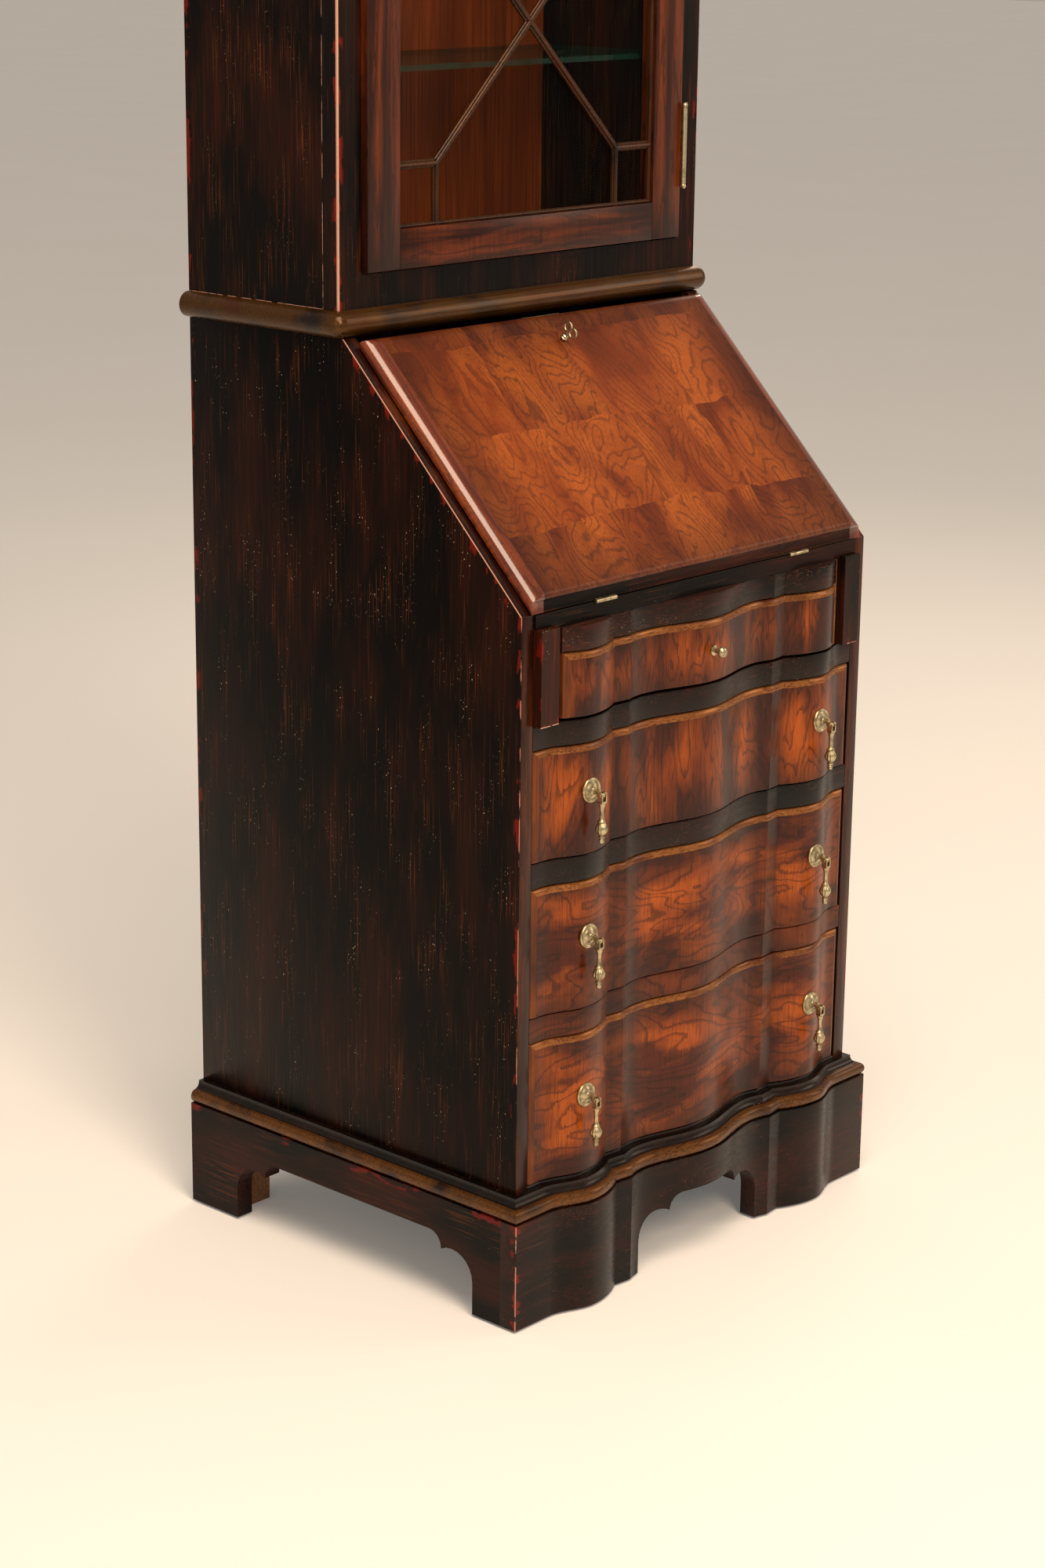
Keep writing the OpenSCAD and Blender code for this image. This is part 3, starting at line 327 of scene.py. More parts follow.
def deselectAll():
    if bpy.context.object and bpy.context.object.mode != "OBJECT":
        bpy.ops.object.mode_set(mode="OBJECT")
    bpy.ops.object.select_all(action="DESELECT")


def editWhole():
    bpy.ops.object.mode_set(mode="EDIT")
    bpy.ops.mesh.select_all(action="SELECT")


def turnOutward():
    # Ends an edit with every face outward
    bpy.ops.mesh.select_all(action="SELECT")
    bpy.ops.mesh.normals_make_consistent(inside=False)
    bpy.ops.object.mode_set(mode="OBJECT")


def settled(name, material, body, angle=35, replaced=()):
    # Applies the active object's place, smooths it, names it, and ties it to its body
    piece = bpy.context.object
    bpy.ops.object.transform_apply(location=True, rotation=True, scale=True)
    bpy.ops.object.shade_smooth_by_angle(angle=math.radians(angle))
    piece.name = name
    if material:
        piece.data.materials.clear()
        piece.data.materials.append(material)
    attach(piece, body)
    if replaced:
        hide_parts(*replaced)
    return piece


def gridSheet(columns, rows, place):
    # A grid whose vertex in column i and row j goes to place(i, j)
    deselectAll()
    bpy.ops.mesh.primitive_grid_add(x_subdivisions=columns - 1, y_subdivisions=rows - 1, size=1)
    sheet = bpy.context.object
    for vertex in sheet.data.vertices:
        i = round((vertex.co.x + 0.5) * (columns - 1))
        j = round((vertex.co.y + 0.5) * (rows - 1))
        vertex.co = place(i, j)
    return sheet


def closeBehind(planeY):
    # Extrudes the sheet, flattens the copy onto a plane behind it, and turns the shell's faces outward
    editWhole()
    bpy.ops.mesh.extrude_region_move(TRANSFORM_OT_translate={"value": (0, 0.001, 0)})
    bpy.ops.transform.resize(value=(1, 0, 1), center_override=(0, planeY, 0))
    turnOutward()


def lathe(profile, centre, axis, segments=40, flute=None):
    # Turns a profile of (radius, out) points in millimetres about an axis from the centre
    axis = Vector(axis).normalized()
    first = axis.orthogonal().normalized()
    second = axis.cross(first)

    def place(i, j):
        radius, out = profile[j]
        angle = 2 * math.pi * i / segments
        if flute and flute["low"] < out < flute["high"]:
            share = math.sin(math.pi * (out - flute["low"]) / (flute["high"] - flute["low"]))
            radius -= flute["depth"] * share * abs(math.sin(flute["count"] * angle / 2)) ** 2
        return centre + (axis * out + (first * math.cos(angle) + second * math.sin(angle)) * radius) * mm

    turned = gridSheet(segments + 1, len(profile), place)
    editWhole()
    bpy.ops.mesh.remove_doubles(threshold=0.000005)
    turnOutward()
    return turned


def block(low, high, bevel=0.0, segments=2):
    # A block between two corners, its edges eased by the bevel in millimetres
    deselectAll()
    low, high = Vector(low), Vector(high)
    bpy.ops.mesh.primitive_cube_add(size=1, location=(low + high) / 2, scale=high - low)
    bpy.ops.object.transform_apply(location=True, rotation=True, scale=True)
    if bevel:
        editWhole()
        bpy.ops.mesh.bevel(offset=bevel * mm, segments=segments, affect="EDGES")
        bpy.ops.object.mode_set(mode="OBJECT")
    return bpy.context.object


def prism(outline, along, bevel=0.0, segments=2):
    # An outline of points in one plane, pushed along a vector
    deselectAll()
    bpy.ops.mesh.primitive_circle_add(vertices=len(outline), fill_type="NGON")
    piece = bpy.context.object
    for vertex, corner in zip(piece.data.vertices, outline):
        vertex.co = corner
    editWhole()
    bpy.ops.mesh.extrude_region_move(TRANSFORM_OT_translate={"value": along})
    bpy.ops.mesh.select_all(action="SELECT")
    bpy.ops.mesh.normals_make_consistent(inside=False)
    if bevel:
        bpy.ops.mesh.bevel(offset=bevel * mm, segments=segments, affect="EDGES")
    bpy.ops.object.mode_set(mode="OBJECT")
    return piece


def joined(parts):
    deselectAll()
    for part in parts:
        part.select_set(True)
    bpy.context.view_layer.objects.active = parts[0]
    if len(parts) > 1:
        bpy.ops.object.join()
    return bpy.context.object


def cylinder(centre, radius, length, axis, segments=32):
    half = length / 2
    return lathe([(0, -half), (radius - 0.2, -half), (radius, -half + 0.2), (radius, half - 0.2),
                  (radius - 0.2, half), (0, half)], Vector(centre), axis, segments)


# The serpentine front: one curve for the drawers, rails and plinth
serpentine = {"lobeOut": 15.5, "flat": 35.75, "outerRun": 55.0, "innerRun": 52.0, "strip": 22.0,
              "arrisOut": 3.0, "hollow": 26.0, "hollowIn": 2.0}
lobeEnd = caseHalf / mm - serpentine["flat"]
lobeX = lobeEnd - serpentine["outerRun"]
nookX = lobeX - serpentine["innerRun"]
arrisX = nookX - serpentine["strip"]
hollowX = arrisX - serpentine["hollow"]
# Where the front dips, and how far from there the shade in the dip reaches
valleys = ((nookX - 6, 20), (hollowX + 12, 26))


def swell(x):
    # How far the front stands out at a distance x from the middle, in millimetres
    s = serpentine
    a = abs(x)
    if a >= lobeEnd:
        return 0.0
    if a >= lobeX:
        return s["lobeOut"] * (1 + math.cos(math.pi * (a - lobeX) / s["outerRun"])) / 2
    if a >= nookX:
        return s["lobeOut"] * (1 - ((lobeX - a) / s["innerRun"]) ** 2)
    if a >= arrisX:
        return s["arrisOut"] * (nookX - a) / s["strip"]
    if a >= hollowX:
        return (s["arrisOut"] + s["hollowIn"]) * ((a - hollowX) / s["hollow"]) ** 2 - s["hollowIn"]
    return (s["lobeOut"] + s["hollowIn"]) * (1 + math.cos(math.pi * a / hollowX)) / 2 - s["hollowIn"]


def spread(start, end, count):
    return [start + (end - start) * k / count for k in range(count)]


def columnPlaces(half, edge):
    # Places along x for a front of that half width, dense on the curves and over the edge moulding
    strip = [arrisX, (arrisX + nookX) / 2, nookX - 0.4, nookX]
    curve = (spread(0, hollowX, 20) + spread(hollowX, arrisX, 8) + strip
             + spread(nookX, lobeX, 16)[1:] + spread(lobeX, lobeEnd, 18) + [lobeEnd])
    inside = [x for x in curve if x < half - edge[-1] - 1]
    right = inside + [half - d for d in reversed(edge)]
    return [-x for x in reversed(right[1:])] + right


def swellingFront(name, half, out, backPlane, low, high, edges, drop, body, replaced):
    # A front board with a moulded edge, from its half width, how far it stands out and its z limits, in mm.
    # edges gives the stations at the top, sides and bottom, and drop() how far the face falls back there.
    xs = columnPlaces(half, edges["side"])
    zs = [low + d for d in edges["bottom"]] + [high - d for d in reversed(edges["top"])]

    def place(i, j):
        x, z = xs[i], zs[j]
        back = drop(half - abs(x), high - z, z - low)
        return Vector((x * mm, frontY - (out + swell(x) - back) * mm, z * mm))

    gridSheet(len(xs), len(zs), place)
    closeBehind(frontY + backPlane * mm)
    return settled(name, None, body, 22, replaced)


def thumbDrop(width, depth, fillet):
    # Fall of a thumb moulding: a small step at the fillet, then a quarter round to the edge
    def fall(d):
        if d >= width + fillet:
            return 0.0
        if d >= width:
            return width + fillet - d
        return fillet + (depth - fillet) * (1 - math.sqrt(max(0.0, 1 - ((width - d) / width) ** 2)))
    return fall


def edgeRows(thumb):
    width, fillet = thumb["width"], thumb["fillet"]
    return [0.0, 0.15, 0.5, 1.1, 2.0, 3.1, 4.4, width, width + fillet, width + fillet + 1.5]


thumb = {"width": 6.2, "depth": 5.4, "fillet": 0.8}
thumbRows = edgeRows(thumb)
thumbFall = thumbDrop(thumb["width"], thumb["depth"], thumb["fillet"])
roundRows = [0.0, 0.3, 0.9, 2.0]


def roundFall(d, radius=1.6):
    return 0.0 if d >= radius else radius * (1 - math.sqrt(1 - ((radius - d) / radius) ** 2))


print("materials and helpers ready")

drawerLooks = {
    "drawer_1": {"shift": 1.3, "turn": 0.2, "size": (46, 150, 170), "rings": 15},
    "drawer_2": {"shift": 4.1, "turn": -0.15, "size": (52, 150, 190), "rings": 16},
    "drawer_3": {"shift": 8.2, "turn": 0.5, "size": (170, 150, 62), "rings": 15},
    "drawer_4": {"shift": 11.9, "turn": 0.3, "size": (190, 150, 66), "rings": 15},
}
drawerProud = 1.5
drawerBack = 20.0


def drawerFront(name, look):
    low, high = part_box(name + "_front")
    half, z0, z1 = high.x / mm, low.z / mm, high.z / mm

    def drop(side, up, down):
        return max(thumbFall(side), thumbFall(up), roundFall(down))

    front = swellingFront(name + "_front_board", half, drawerProud, drawerBack, z0, z1,
                          {"side": thumbRows, "top": thumbRows, "bottom": roundRows}, drop,
                          name, (name + "_front",))
    ends = [planeAt("x", -high.x, 1), planeAt("x", high.x, -1),
            planeAt("z", low.z, 1), planeAt("z", high.z, -1)]
    field = figuredVeneer(name + " crotch veneer", look["shift"], look["turn"], ends, rings=look["rings"],
                          size=look["size"], shade=0.72, nooks=valleys)
    gilt = rubbedBronze(name + " gilt thumb moulding", "x", look["shift"], "#48200d", "#9c6536", 0.95)
    endMoulding = rubbedBronze(name + " end moulding", "z", look["shift"], "#3c160a", "#7f4520", 0.8)
    front.data.materials.clear()
    for material in (field, gilt, endMoulding):
        front.data.materials.append(material)
    strip = (thumb["width"] + thumb["fillet"] + 0.5) * mm
    for face in front.data.polygons:
        c = face.center
        top, side = high.z - c.z, high.x - abs(c.x)
        if min(top, side) < strip and face.normal.y < 0.5:
            face.material_index = 1 if top < side else 2
    return front


for name, look in drawerLooks.items():
    drawerFront(name, look)
print("drawer fronts done")


black = ebonisedLacquer("ebonised rail", "x", shift=2.0, warmth=0.4, streak=0.3, specks=0.2, gloss=0.25)
apronBlack = ebonisedLacquer("ebonised apron rail", "x", (), 5.5, 1.1, 0.4, 0.5, 0.22)
brownRail = figuredVeneer("rail veneer", 6.0, 1.5, (), rings=12, size=(240, 150, 60), contrast=0.5,
                          bright="#7c3a12", middle="#431a08", nooks=valleys)


def serpentineRail(node, material):
    low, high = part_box(node)

    def drop(side, up, down):
        return max(roundFall(up), roundFall(down))

    rail = swellingFront(node + "_board", high.x / mm, 0.0, (high.y - frontY) / mm, low.z / mm, high.z / mm,
                         {"side": [0.0, 1.0, 4.0], "top": roundRows, "bottom": roundRows}, drop,
                         "case", (node,))
    rail.data.materials.append(material)


serpentineRail("rail_upper", black)
serpentineRail("rail_middle", black)
serpentineRail("rail_lower", brownRail)
serpentineRail("apron_rail", apronBlack)
serpentineRail("case_bottom", black)
print("rails done")


# Plinth with bracket feet
bracket = {"gapHalf": 103.0, "straight": 36.0, "cuspX": 46.0, "cuspZ": 62.0, "apron": 80.0}
plinthLow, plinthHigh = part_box("plinth_front")
plinthOut = plinthHigh.x - caseHalf


def apronHeight(x):
    # Height of the front board's lower edge above its feet
    b = bracket
    inside = b["gapHalf"] - abs(x)
    if inside <= 0:
        return 0.0
    up = b["cuspZ"] - b["straight"]
    radius = (b["cuspX"] ** 2 + up ** 2) / (2 * b["cuspX"])
    if inside <= b["cuspX"]:
        return b["straight"] + math.sqrt(max(0.0, radius ** 2 - (radius - inside) ** 2))
    rise = b["apron"] - b["cuspZ"]
    return b["cuspZ"] + math.sqrt(max(0.0, rise ** 2 - max(0.0, b["cuspX"] + rise - inside) ** 2))


def plinthFront():
    half, out = plinthHigh.x / mm, plinthOut / mm
    b = bracket
    xs = columnPlaces(half, [0.0, 0.3, 0.9, 2.0])
    step = [b["gapHalf"], b["gapHalf"] - 0.02]
    arc = [b["gapHalf"] - d for d in (1, 3, 7, 13, 20, 28, 36, 42, 45.9, 46.1, 48, 52, 58, 64)]
    xs = sorted(set(xs + step + arc + [-x for x in step + arc]))
    rows = [0.0, 0.02, 0.2, 0.5, 0.8, 0.98, 0.994, 1.0]
    low, high = plinthLow.z / mm, plinthHigh.z / mm

    def place(i, j):
        x = xs[i]
        bottom = low + apronHeight(x)
        z = bottom + (high - bottom) * rows[j]
        back = max(roundFall(high - z), roundFall(half - abs(x)))
        return Vector((x * mm, frontY - (out + swell(x) - back) * mm, z * mm))

    gridSheet(len(xs), len(rows), place)
    closeBehind(plinthHigh.y)
    face = planeAt("y", plinthLow.y + serpentine["lobeOut"] * mm, 1)
    arrises = [(planeAt("x", sign * plinthHigh.x, -sign), face) for sign in (-1, 1)]
    material = ebonisedLacquer("ebonised plinth front", "x", arrises, 3.3, 0.8, 0.3, 0.1, 0.2,
                               [(arrises[0], 1.6, 0.38)])
    settled("plinth_front_board", material, "case", 22, ("plinth_front",))


plinthFront()


def sweepRound(name, profile, lineY, swelling, body, replaced):
    # A closed moulding profile of (out, z) points run along the left side, the front and the right side
    half = caseHalf / mm
    front = columnPlaces(half, [1.0, 6.0]) if swelling else [-half + 1, 0, half - 1]
    count = len(front) + 2

    def place(i, j):
        out, z = profile[j]
        if i in (0, count - 1):
            side = -1 if i == 0 else 1
            return Vector((side * (half + out) * mm, backY, z * mm))
        x = front[i - 1]
        bulge = swell(x) if swelling else 0.0
        if i in (1, count - 2):
            x = math.copysign(half + out, x)
        return Vector((x * mm, lineY - (out + bulge) * mm, z * mm))

    gridSheet(count, len(profile), place)
    editWhole()
    bpy.ops.mesh.remove_doubles(threshold=0.00001)
    bpy.ops.mesh.fill_holes(sides=0)
    turnOutward()
    return settled(name, None, body, 22, replaced)


def arcPoints(centreOut, centreZ, radiusOut, radiusZ, start, end, count):
    angles = [math.radians(start + (end - start) * k / count) for k in range(count + 1)]
    return [(centreOut + radiusOut * math.cos(a), centreZ + radiusZ * math.sin(a)) for a in angles]


mouldingLow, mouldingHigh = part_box("plinth_moulding")
torus = {"share": 0.6, "bulge": 6.0, "lip": 6.5}


def plinthMoulding():
    low, high = mouldingLow.z / mm, mouldingHigh.z / mm
    out = plinthOut / mm
    round_ = torus["share"] * (high - low) / 2
    shoulder = out - torus["bulge"]
    cove = shoulder - torus["lip"]
    top = low + 2 * round_
    profile = [(-1.0, low)] + arcPoints(shoulder, low + round_, torus["bulge"], round_, -90, 90, 10)
    profile += [(shoulder, top + 0.4)] + arcPoints(shoulder, high - 0.8, -cove, -(high - 1.2 - top), 90, 0, 8)
    profile += [(torus["lip"], high), (-1.0, high), (-1.0, low)]
    piece = sweepRound("plinth_moulding_run", profile, frontY, True, "case", ("plinth_moulding",))
    piece.data.materials.append(rubbedBronze("bronzed torus", "x", 7.0, "#1c0e08", "#7d5024", 0.7))
    piece.data.materials.append(ebonisedLacquer("gloss black cove", "x", (), 4.0, 0.2, 0.15, 0.2, 0.3))
    for face in piece.data.polygons:
        face.material_index = 1 if face.center.z > (top + 0.5) * mm else 0


plinthMoulding()
print("plinth done")


# Slanted writing lid
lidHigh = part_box("lid_panel")[1]
lid = {"thick": 15.0, "thumb": 18.0, "rise": 10.5, "topThumb": 10.0, "chamfer": 9.0, "low": 1.0,
       "length": 345.0, "inset": 1.0, "fillet": 0.7, "hingeOut": 2.5, "hingeX": 161.0,
       "hingeLength": 32.0, "leaf": 20.0, "key": 307.0}


def onSlant(x, up, out):
    # A point of the lid: across, up the slant and out of its inner face, in millimetres
    axis = Vector((x * mm, frontY - lid["hingeOut"] * mm, hingeZ))
    return axis + (slantUp * up + slantNormal * out) * mm


def slantBlock(x0, x1, up0, up1, out0, out1):
    corners = ((x0, up0), (x1, up0), (x1, up1), (x0, up1))
    outline = [onSlant(x, up, out0) for x, up in corners]
    return prism(outline, slantNormal * (out1 - out0) * mm)


def cutAway(piece, cutters):
    for cutter in cutters:
        deselectAll()
        piece.select_set(True)
        bpy.context.view_layer.objects.active = piece
        carve = piece.modifiers.new("carve", "BOOLEAN")
        carve.operation = "DIFFERENCE"
        carve.object = cutter
        bpy.ops.object.modifier_apply(modifier=carve.name)
        bpy.data.objects.remove(cutter)
    return piece


def lidCutters():
    cutters = []
    for sign in (-1, 1):
        x0 = sign * lid["hingeX"] - lid["hingeLength"] / 2
        x1 = x0 + lid["hingeLength"]
        middle = onSlant((x0 + x1) / 2, 0, 0)
        cutters.append(cylinder(middle, 2.8, x1 - x0 + 0.8, (1, 0, 0), 24))
        cutters.append(slantBlock(x0 - 0.3, x1 + 0.3, -1, lid["leaf"] + 0.3, -1, 1.5))
    far = lid["low"] + lid["length"]
    cutters.append(slantBlock(-30.3, 30.3, far - 34.3, far + 1, -1, 8))
    keyhole = [(0, 5), (3.2, 5), (3.2, 17), (0, 17)]
    cutters.append(lathe(keyhole, onSlant(0, lid["key"], 0), slantNormal, 24))
    return cutters


def lidBoard():
    half = lidHigh.x / mm
    far = lid["low"] + lid["length"]
    sideRows = [0.0, 0.2, 0.8, 1.8, 3.4, 5.6, 8.4, 11.6, 14.8, 17.0, lid["thumb"], lid["thumb"] + 0.5]
    sideRows += [24.0, 60.0, 140.0]
    xs = [-half + d for d in sideRows] + [0.0] + [half - d for d in reversed(sideRows)]
    lowRows = [0.0, 3.0, 6.0, lid["chamfer"], 9.2, 9.8, 10.9, 12.4, 14.0, 15.0, 15.6, 40.0]
    topRows = [0.0, 0.1, 0.6, 1.6, 3.2, 5.4, 8.0, 10.0, 10.6, 30.0]
    rows = [lid["low"] + d for d in lowRows] + [far / 2] + [far - d for d in reversed(topRows)]
    edge = lid["thick"] - lid["rise"]

    def thumbHeight(d, width):
        if d >= width + 0.5:
            return lid["thick"]
        if d >= width:
            return lid["thick"] - lid["fillet"]
        return edge + (lid["rise"] - lid["fillet"]) * math.sqrt(1 - ((width - d) / width) ** 2)

    def lowHeight(d):
        if d <= lid["chamfer"]:
            return max(d, lid["inset"])
        r = lid["thick"] - lid["chamfer"]
        k = min(1.0, (d - lid["chamfer"]) / r)
        return lid["chamfer"] + r * math.sqrt(1 - (1 - k) ** 2)

    def place(i, j):
        x, s = xs[i], rows[j]
        height = min(thumbHeight(half - abs(x), lid["thumb"]), thumbHeight(far - s, lid["topThumb"]),
                     lowHeight(s - lid["low"]))
        return Vector((x * mm, s * mm, height * mm))

    board = gridSheet(len(xs), len(rows), place)
    editWhole()
    bpy.ops.mesh.extrude_region_move(TRANSFORM_OT_translate={"value": (0, 0, -0.001)})
    bpy.ops.transform.resize(value=(1, 1, 0), center_override=(0, 0, lid["inset"] * mm))
    turnOutward()
    board.rotation_euler = (math.radians(45), 0, 0)
    origin = onSlant(0, 0, 0)
    board.location = origin
    cutAway(board, lidCutters())
    piece = settled("lid_board", None, "lid", 30, ("lid_panel",))
    ends = [planeAt("x", -lidHigh.x + 0.02, 1), planeAt("x", lidHigh.x - 0.02, -1),
            (tuple(origin + slantUp * lid["low"] * mm), tuple(slantUp)),
            (tuple(origin + slantUp * far * mm), tuple(-slantUp))]
    field = figuredVeneer("lid patchwork veneer", 2.7, 0.4, ends, leaf=(0.137, 0.117, 10.0), rings=28,
                          size=(95, 230, 95), tilt=-math.pi / 4, shade=0.62, edgeReach=75, dark="#240b03",
                          middle="#6c2c09", bright="#a9581a", contrast=0.8, rough=0.34)
    side = figuredVeneer("lid side moulding", 5.0, 0.0, (), rings=6, size=(20, 300, 20), tilt=-math.pi / 4,
                         middle="#5e2209", bright="#8f4413", dark="#301006", contrast=0.6, rough=0.13)
    shellac = side.node_tree.nodes["Principled BSDF"].inputs
    shellac["Coat Weight"].default_value = 1.0
    shellac["Coat Roughness"].default_value = 0.12
    low = ebonisedLacquer("lid lower edge", "x", (), 9.0, 1.0, 0.3, 0.2)
    inside = figuredVeneer("lid inside veneer", 9.0, 1.4, (), rings=6, size=(300, 150, 120),
                           tilt=-math.pi / 4, middle="#6b2f12", bright="#8a451d", dark="#43190b",
                           contrast=0.5, rough=0.34)
    for material in (field, side, low, inside):
        piece.data.materials.append(material)
    for face in piece.data.polygons:
        local = face.center - origin
        s = local.dot(slantUp) / mm
        if face.normal.dot(slantNormal) < -0.5:
            face.material_index = 3
        elif caseHalf - abs(face.center.x) < caseHalf - lidHigh.x + (lid["thumb"] + 0.4) * mm:
            face.material_index = 1
        elif s < lid["low"] + lid["chamfer"] + 0.1:
            face.material_index = 2
        else:
            face.material_index = 0


lidBoard()
print("lid done")


# Brass drop handles and the key
brass = agedBrass("antique lacquered brass")
brassPale = agedBrass("worn brass", "#cdc3a4", "#6a5e42", 3.0, 0.24)
pull = {"rosette": 13.5, "face": 17.0, "pivot": 32.0, "down": 2.5, "drop": 52.0, "fork": 7.6, "gap": 4.7,
        "cheek": 3.6, "eye": 2.9, "tongue": 4.0, "bulb": 6.8}
rosetteProfile = [(0, -0.4), (13.5, -0.4), (13.5, 0.7), (13.1, 1.5), (12.2, 2.0), (11.2, 1.9),
                  (10.6, 1.4), (9.9, 1.5), (9.0, 2.4), (7.6, 3.5), (5.8, 4.3), (4.4, 4.8), (3.9, 5.4),
                  (3.9, 6.1), (3.0, 6.6), (3.0, 11.0), (0, 11.0)]
dropProfile = [(0, 0), (1.5, 0.25), (2.6, 1.1), (3.0, 2.6), (2.8, 4.1), (2.1, 5.2), (2.0, 5.7), (3.2, 6.1),
               (3.6, 6.8), (3.3, 7.6), (2.2, 8.2), (2.1, 8.8), (3.2, 9.6), (4.8, 11.0), (6.1, 12.9),
               (6.8, 15.2), (6.6, 17.4), (5.8, 19.4), (4.7, 21.2), (4.0, 22.4), (4.6, 22.9), (4.7, 23.6),
               (3.9, 24.2), (3.1, 25.0), (2.4, 27.5), (2.1, 31.0), (2.1, 35.0), (2.5, 38.5), (3.2, 40.8),
               (3.7, 41.8), (3.7, 43.0), (3.2, 43.7), (3.4, 44.6), (0, 44.6)]


def clevisPlate(centre, radius, low, thick):
    # An upright plate with a round top, centred on the pivot
    steps = 12
    curve = [(radius * math.cos(math.pi * k / steps), radius * math.sin(math.pi * k / steps))
             for k in range(steps + 1)]
    outline = curve + [(-radius, low), (radius, low)]
    points = [centre + Vector((-thick / 2, y, z)) * mm for y, z in outline]
    return prism(points, (thick * mm, 0, 0), 0.25, 1)


def pulls(drawer):
    for side in ("left", "right"):
        node = "drop_" + drawer[-1] + "_" + side
        low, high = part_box(node)
        centre = Vector(((low.x + high.x) / 2, frontY - pull["pivot"] * mm, low.z + pull["drop"] * mm))
        cheek = (pull["fork"] - pull["gap"]) / 2
        reach = (pull["fork"] - cheek) / 2 * mm
        parts = [clevisPlate(centre + Vector((s * reach, 0, 0)), pull["cheek"], -7.6, cheek) for s in (-1, 1)]
        parts.append(block(centre + Vector((-3.8, -3.3, -8.6)) * mm,
                           centre + Vector((3.8, 3.3, -6.2)) * mm, 0.5))
        for s in (-1, 1):
            parts.append(cylinder(centre + Vector((s * 4.0 * mm, 0, 0)), 1.7, 1.0, (1, 0, 0), 20))
        parts.append(lathe(dropProfile, Vector((centre.x, centre.y, low.z)), (0, 0, 1), 72,
                           {"low": 9.4, "high": 22.0, "count": 12, "depth": 0.75}))
        joined(parts)
        settled(node + "_cast", brass, node, 40, (node,))
    parts = []
    for sign in (-1, 1):
        face = Vector((sign * lobeX * mm, frontY - pull["face"] * mm, centre.z + pull["down"] * mm))
        pivot = Vector((face.x, frontY - pull["pivot"] * mm, centre.z))
        parts.append(lathe(rosetteProfile, face, (0, -1, 0), 56))
        parts.append(block(pivot + Vector((-2, 0, -2.4)) * mm, pivot + Vector((2, 6.5, 2.9)) * mm, 0.4))
        parts.append(cylinder(pivot, pull["eye"], pull["tongue"], (1, 0, 0)))
        parts.append(cylinder(face + Vector((0, 20.5, 0)) * mm, 2.5, 40.0, (0, 1, 0)))
        parts.append(cylinder(face + Vector((0, 38.5, 0)) * mm, 5.0, 3.0, (0, 1, 0), 6))
    joined(parts)
    settled(drawer + "_rosette_pair", brass, drawer, 40, (drawer + "_rosettes",))


for drawer in ("drawer_2", "drawer_3", "drawer_4"):
    pulls(drawer)
print("pulls done")


def keyPiece():
    hole = onSlant(0, lid["key"], 0)
    parts = [lathe([(0, 2.6), (2.0, 2.6), (2.0, 17.6), (3.2, 17.9), (3.7, 18.6), (3.2, 19.4), (2.4, 19.8),
                    (2.4, 20.6), (3.4, 21.0), (3.6, 21.6), (3.0, 22.4), (2.2, 22.9), (2.0, 25.0), (0, 25.0)],
                   hole, slantNormal, 32)]
    for sign in (-1, 1):
        deselectAll()
        centre = hole + slantNormal * 31.2 * mm + slantUp * sign * 4.7 * mm
        bpy.ops.mesh.primitive_torus_add(major_radius=5.0 * mm, minor_radius=1.3 * mm, major_segments=40,
                                         minor_segments=14, location=centre, rotation=(0, math.pi / 2, 0))
        parts.append(bpy.context.object)
    joined(parts)
    settled("key_cast", brassPale, "key", 50, ("key",))


keyPiece()


# Bookcase door
doorLow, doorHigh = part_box("door_frame")
door = {"stile": 47.5, "rail": 41.5, "barSet": 2.0, "barWidth": 9.0, "barThick": 7.0, "cornerX": 59.0,
        "cornerZ": 64.0, "rise": 139.5}
beadWidth = 4.0
openHalf = doorHigh.x - door["stile"] * mm
openLow, openHigh = doorLow.z + door["rail"] * mm, doorHigh.z - door["rail"] * mm


def stileWood(name, shift, edges, size, turn=0.0):
    return figuredVeneer(name, shift, turn, edges, rings=7, dark="#140703", middle="#38160a",
                         bright="#713210", contrast=0.75, shade=0.8, size=size, rough=0.26)


def doorFrame():
    cross = [planeAt("z", doorLow.z, 1), planeAt("z", doorHigh.z, -1)]
    ends = [planeAt("x", sign * openHalf, -sign) for sign in (-1, 1)]
    woods = [stileWood("door stile mahogany", 1.0, cross, (30, 60, 420)),
             stileWood("door rail mahogany", 5.0, ends, (300, 60, 26))]
    parts = []
    for sign in (-1, 1):
        low = min(sign * openHalf, sign * doorHigh.x)
        high = max(sign * openHalf, sign * doorHigh.x)
        parts.append((block((low, doorLow.y, doorLow.z), (high, doorHigh.y, doorHigh.z), 0.9), 0))
    for z0, z1 in ((doorLow.z, openLow), (openHigh, doorHigh.z)):
        parts.append((block((-openHalf, doorLow.y, z0), (openHalf, doorHigh.y, z1), 0.9), 1))
    for part, index in parts:
        for wood in woods:
            part.data.materials.append(wood)
        for face in part.data.polygons:
            face.material_index = index
    joined([part for part, index in parts])
    settled("door_frame_joined", None, "door", 40, ("door_frame",))


def barSection(width, thick):
    # Astragal: a bead standing on a wider flat, as (across, out) points from the glass forward
    half = width / 2
    bead = half * 0.56
    flat = thick - bead - 1.2
    curve = [(bead * math.cos(math.pi * k / 10), flat + bead * math.sin(math.pi * k / 10)) for k in range(11)]
    return [(half, 0), (half, flat - 0.6), (half - 0.6, flat), (bead, flat)] + curve[1:-1] + [
        (-bead, flat), (-half + 0.6, flat), (-half, flat - 0.6), (-half, 0)]


def glazingBar(start, end, faceY, width=9.0):
    # One bar between two points (x, z) of the opening, in metres
    run = Vector((end[0] - start[0], 0, end[1] - start[1]))
    across = run.normalized().cross(Vector((0, 1, 0)))
    base = Vector((start[0], faceY, start[1]))
    section = barSection(width, door["barThick"])
    outline = [base + across * a * mm + Vector((0, -out * mm, 0)) for a, out in section]
    return prism(outline, run)


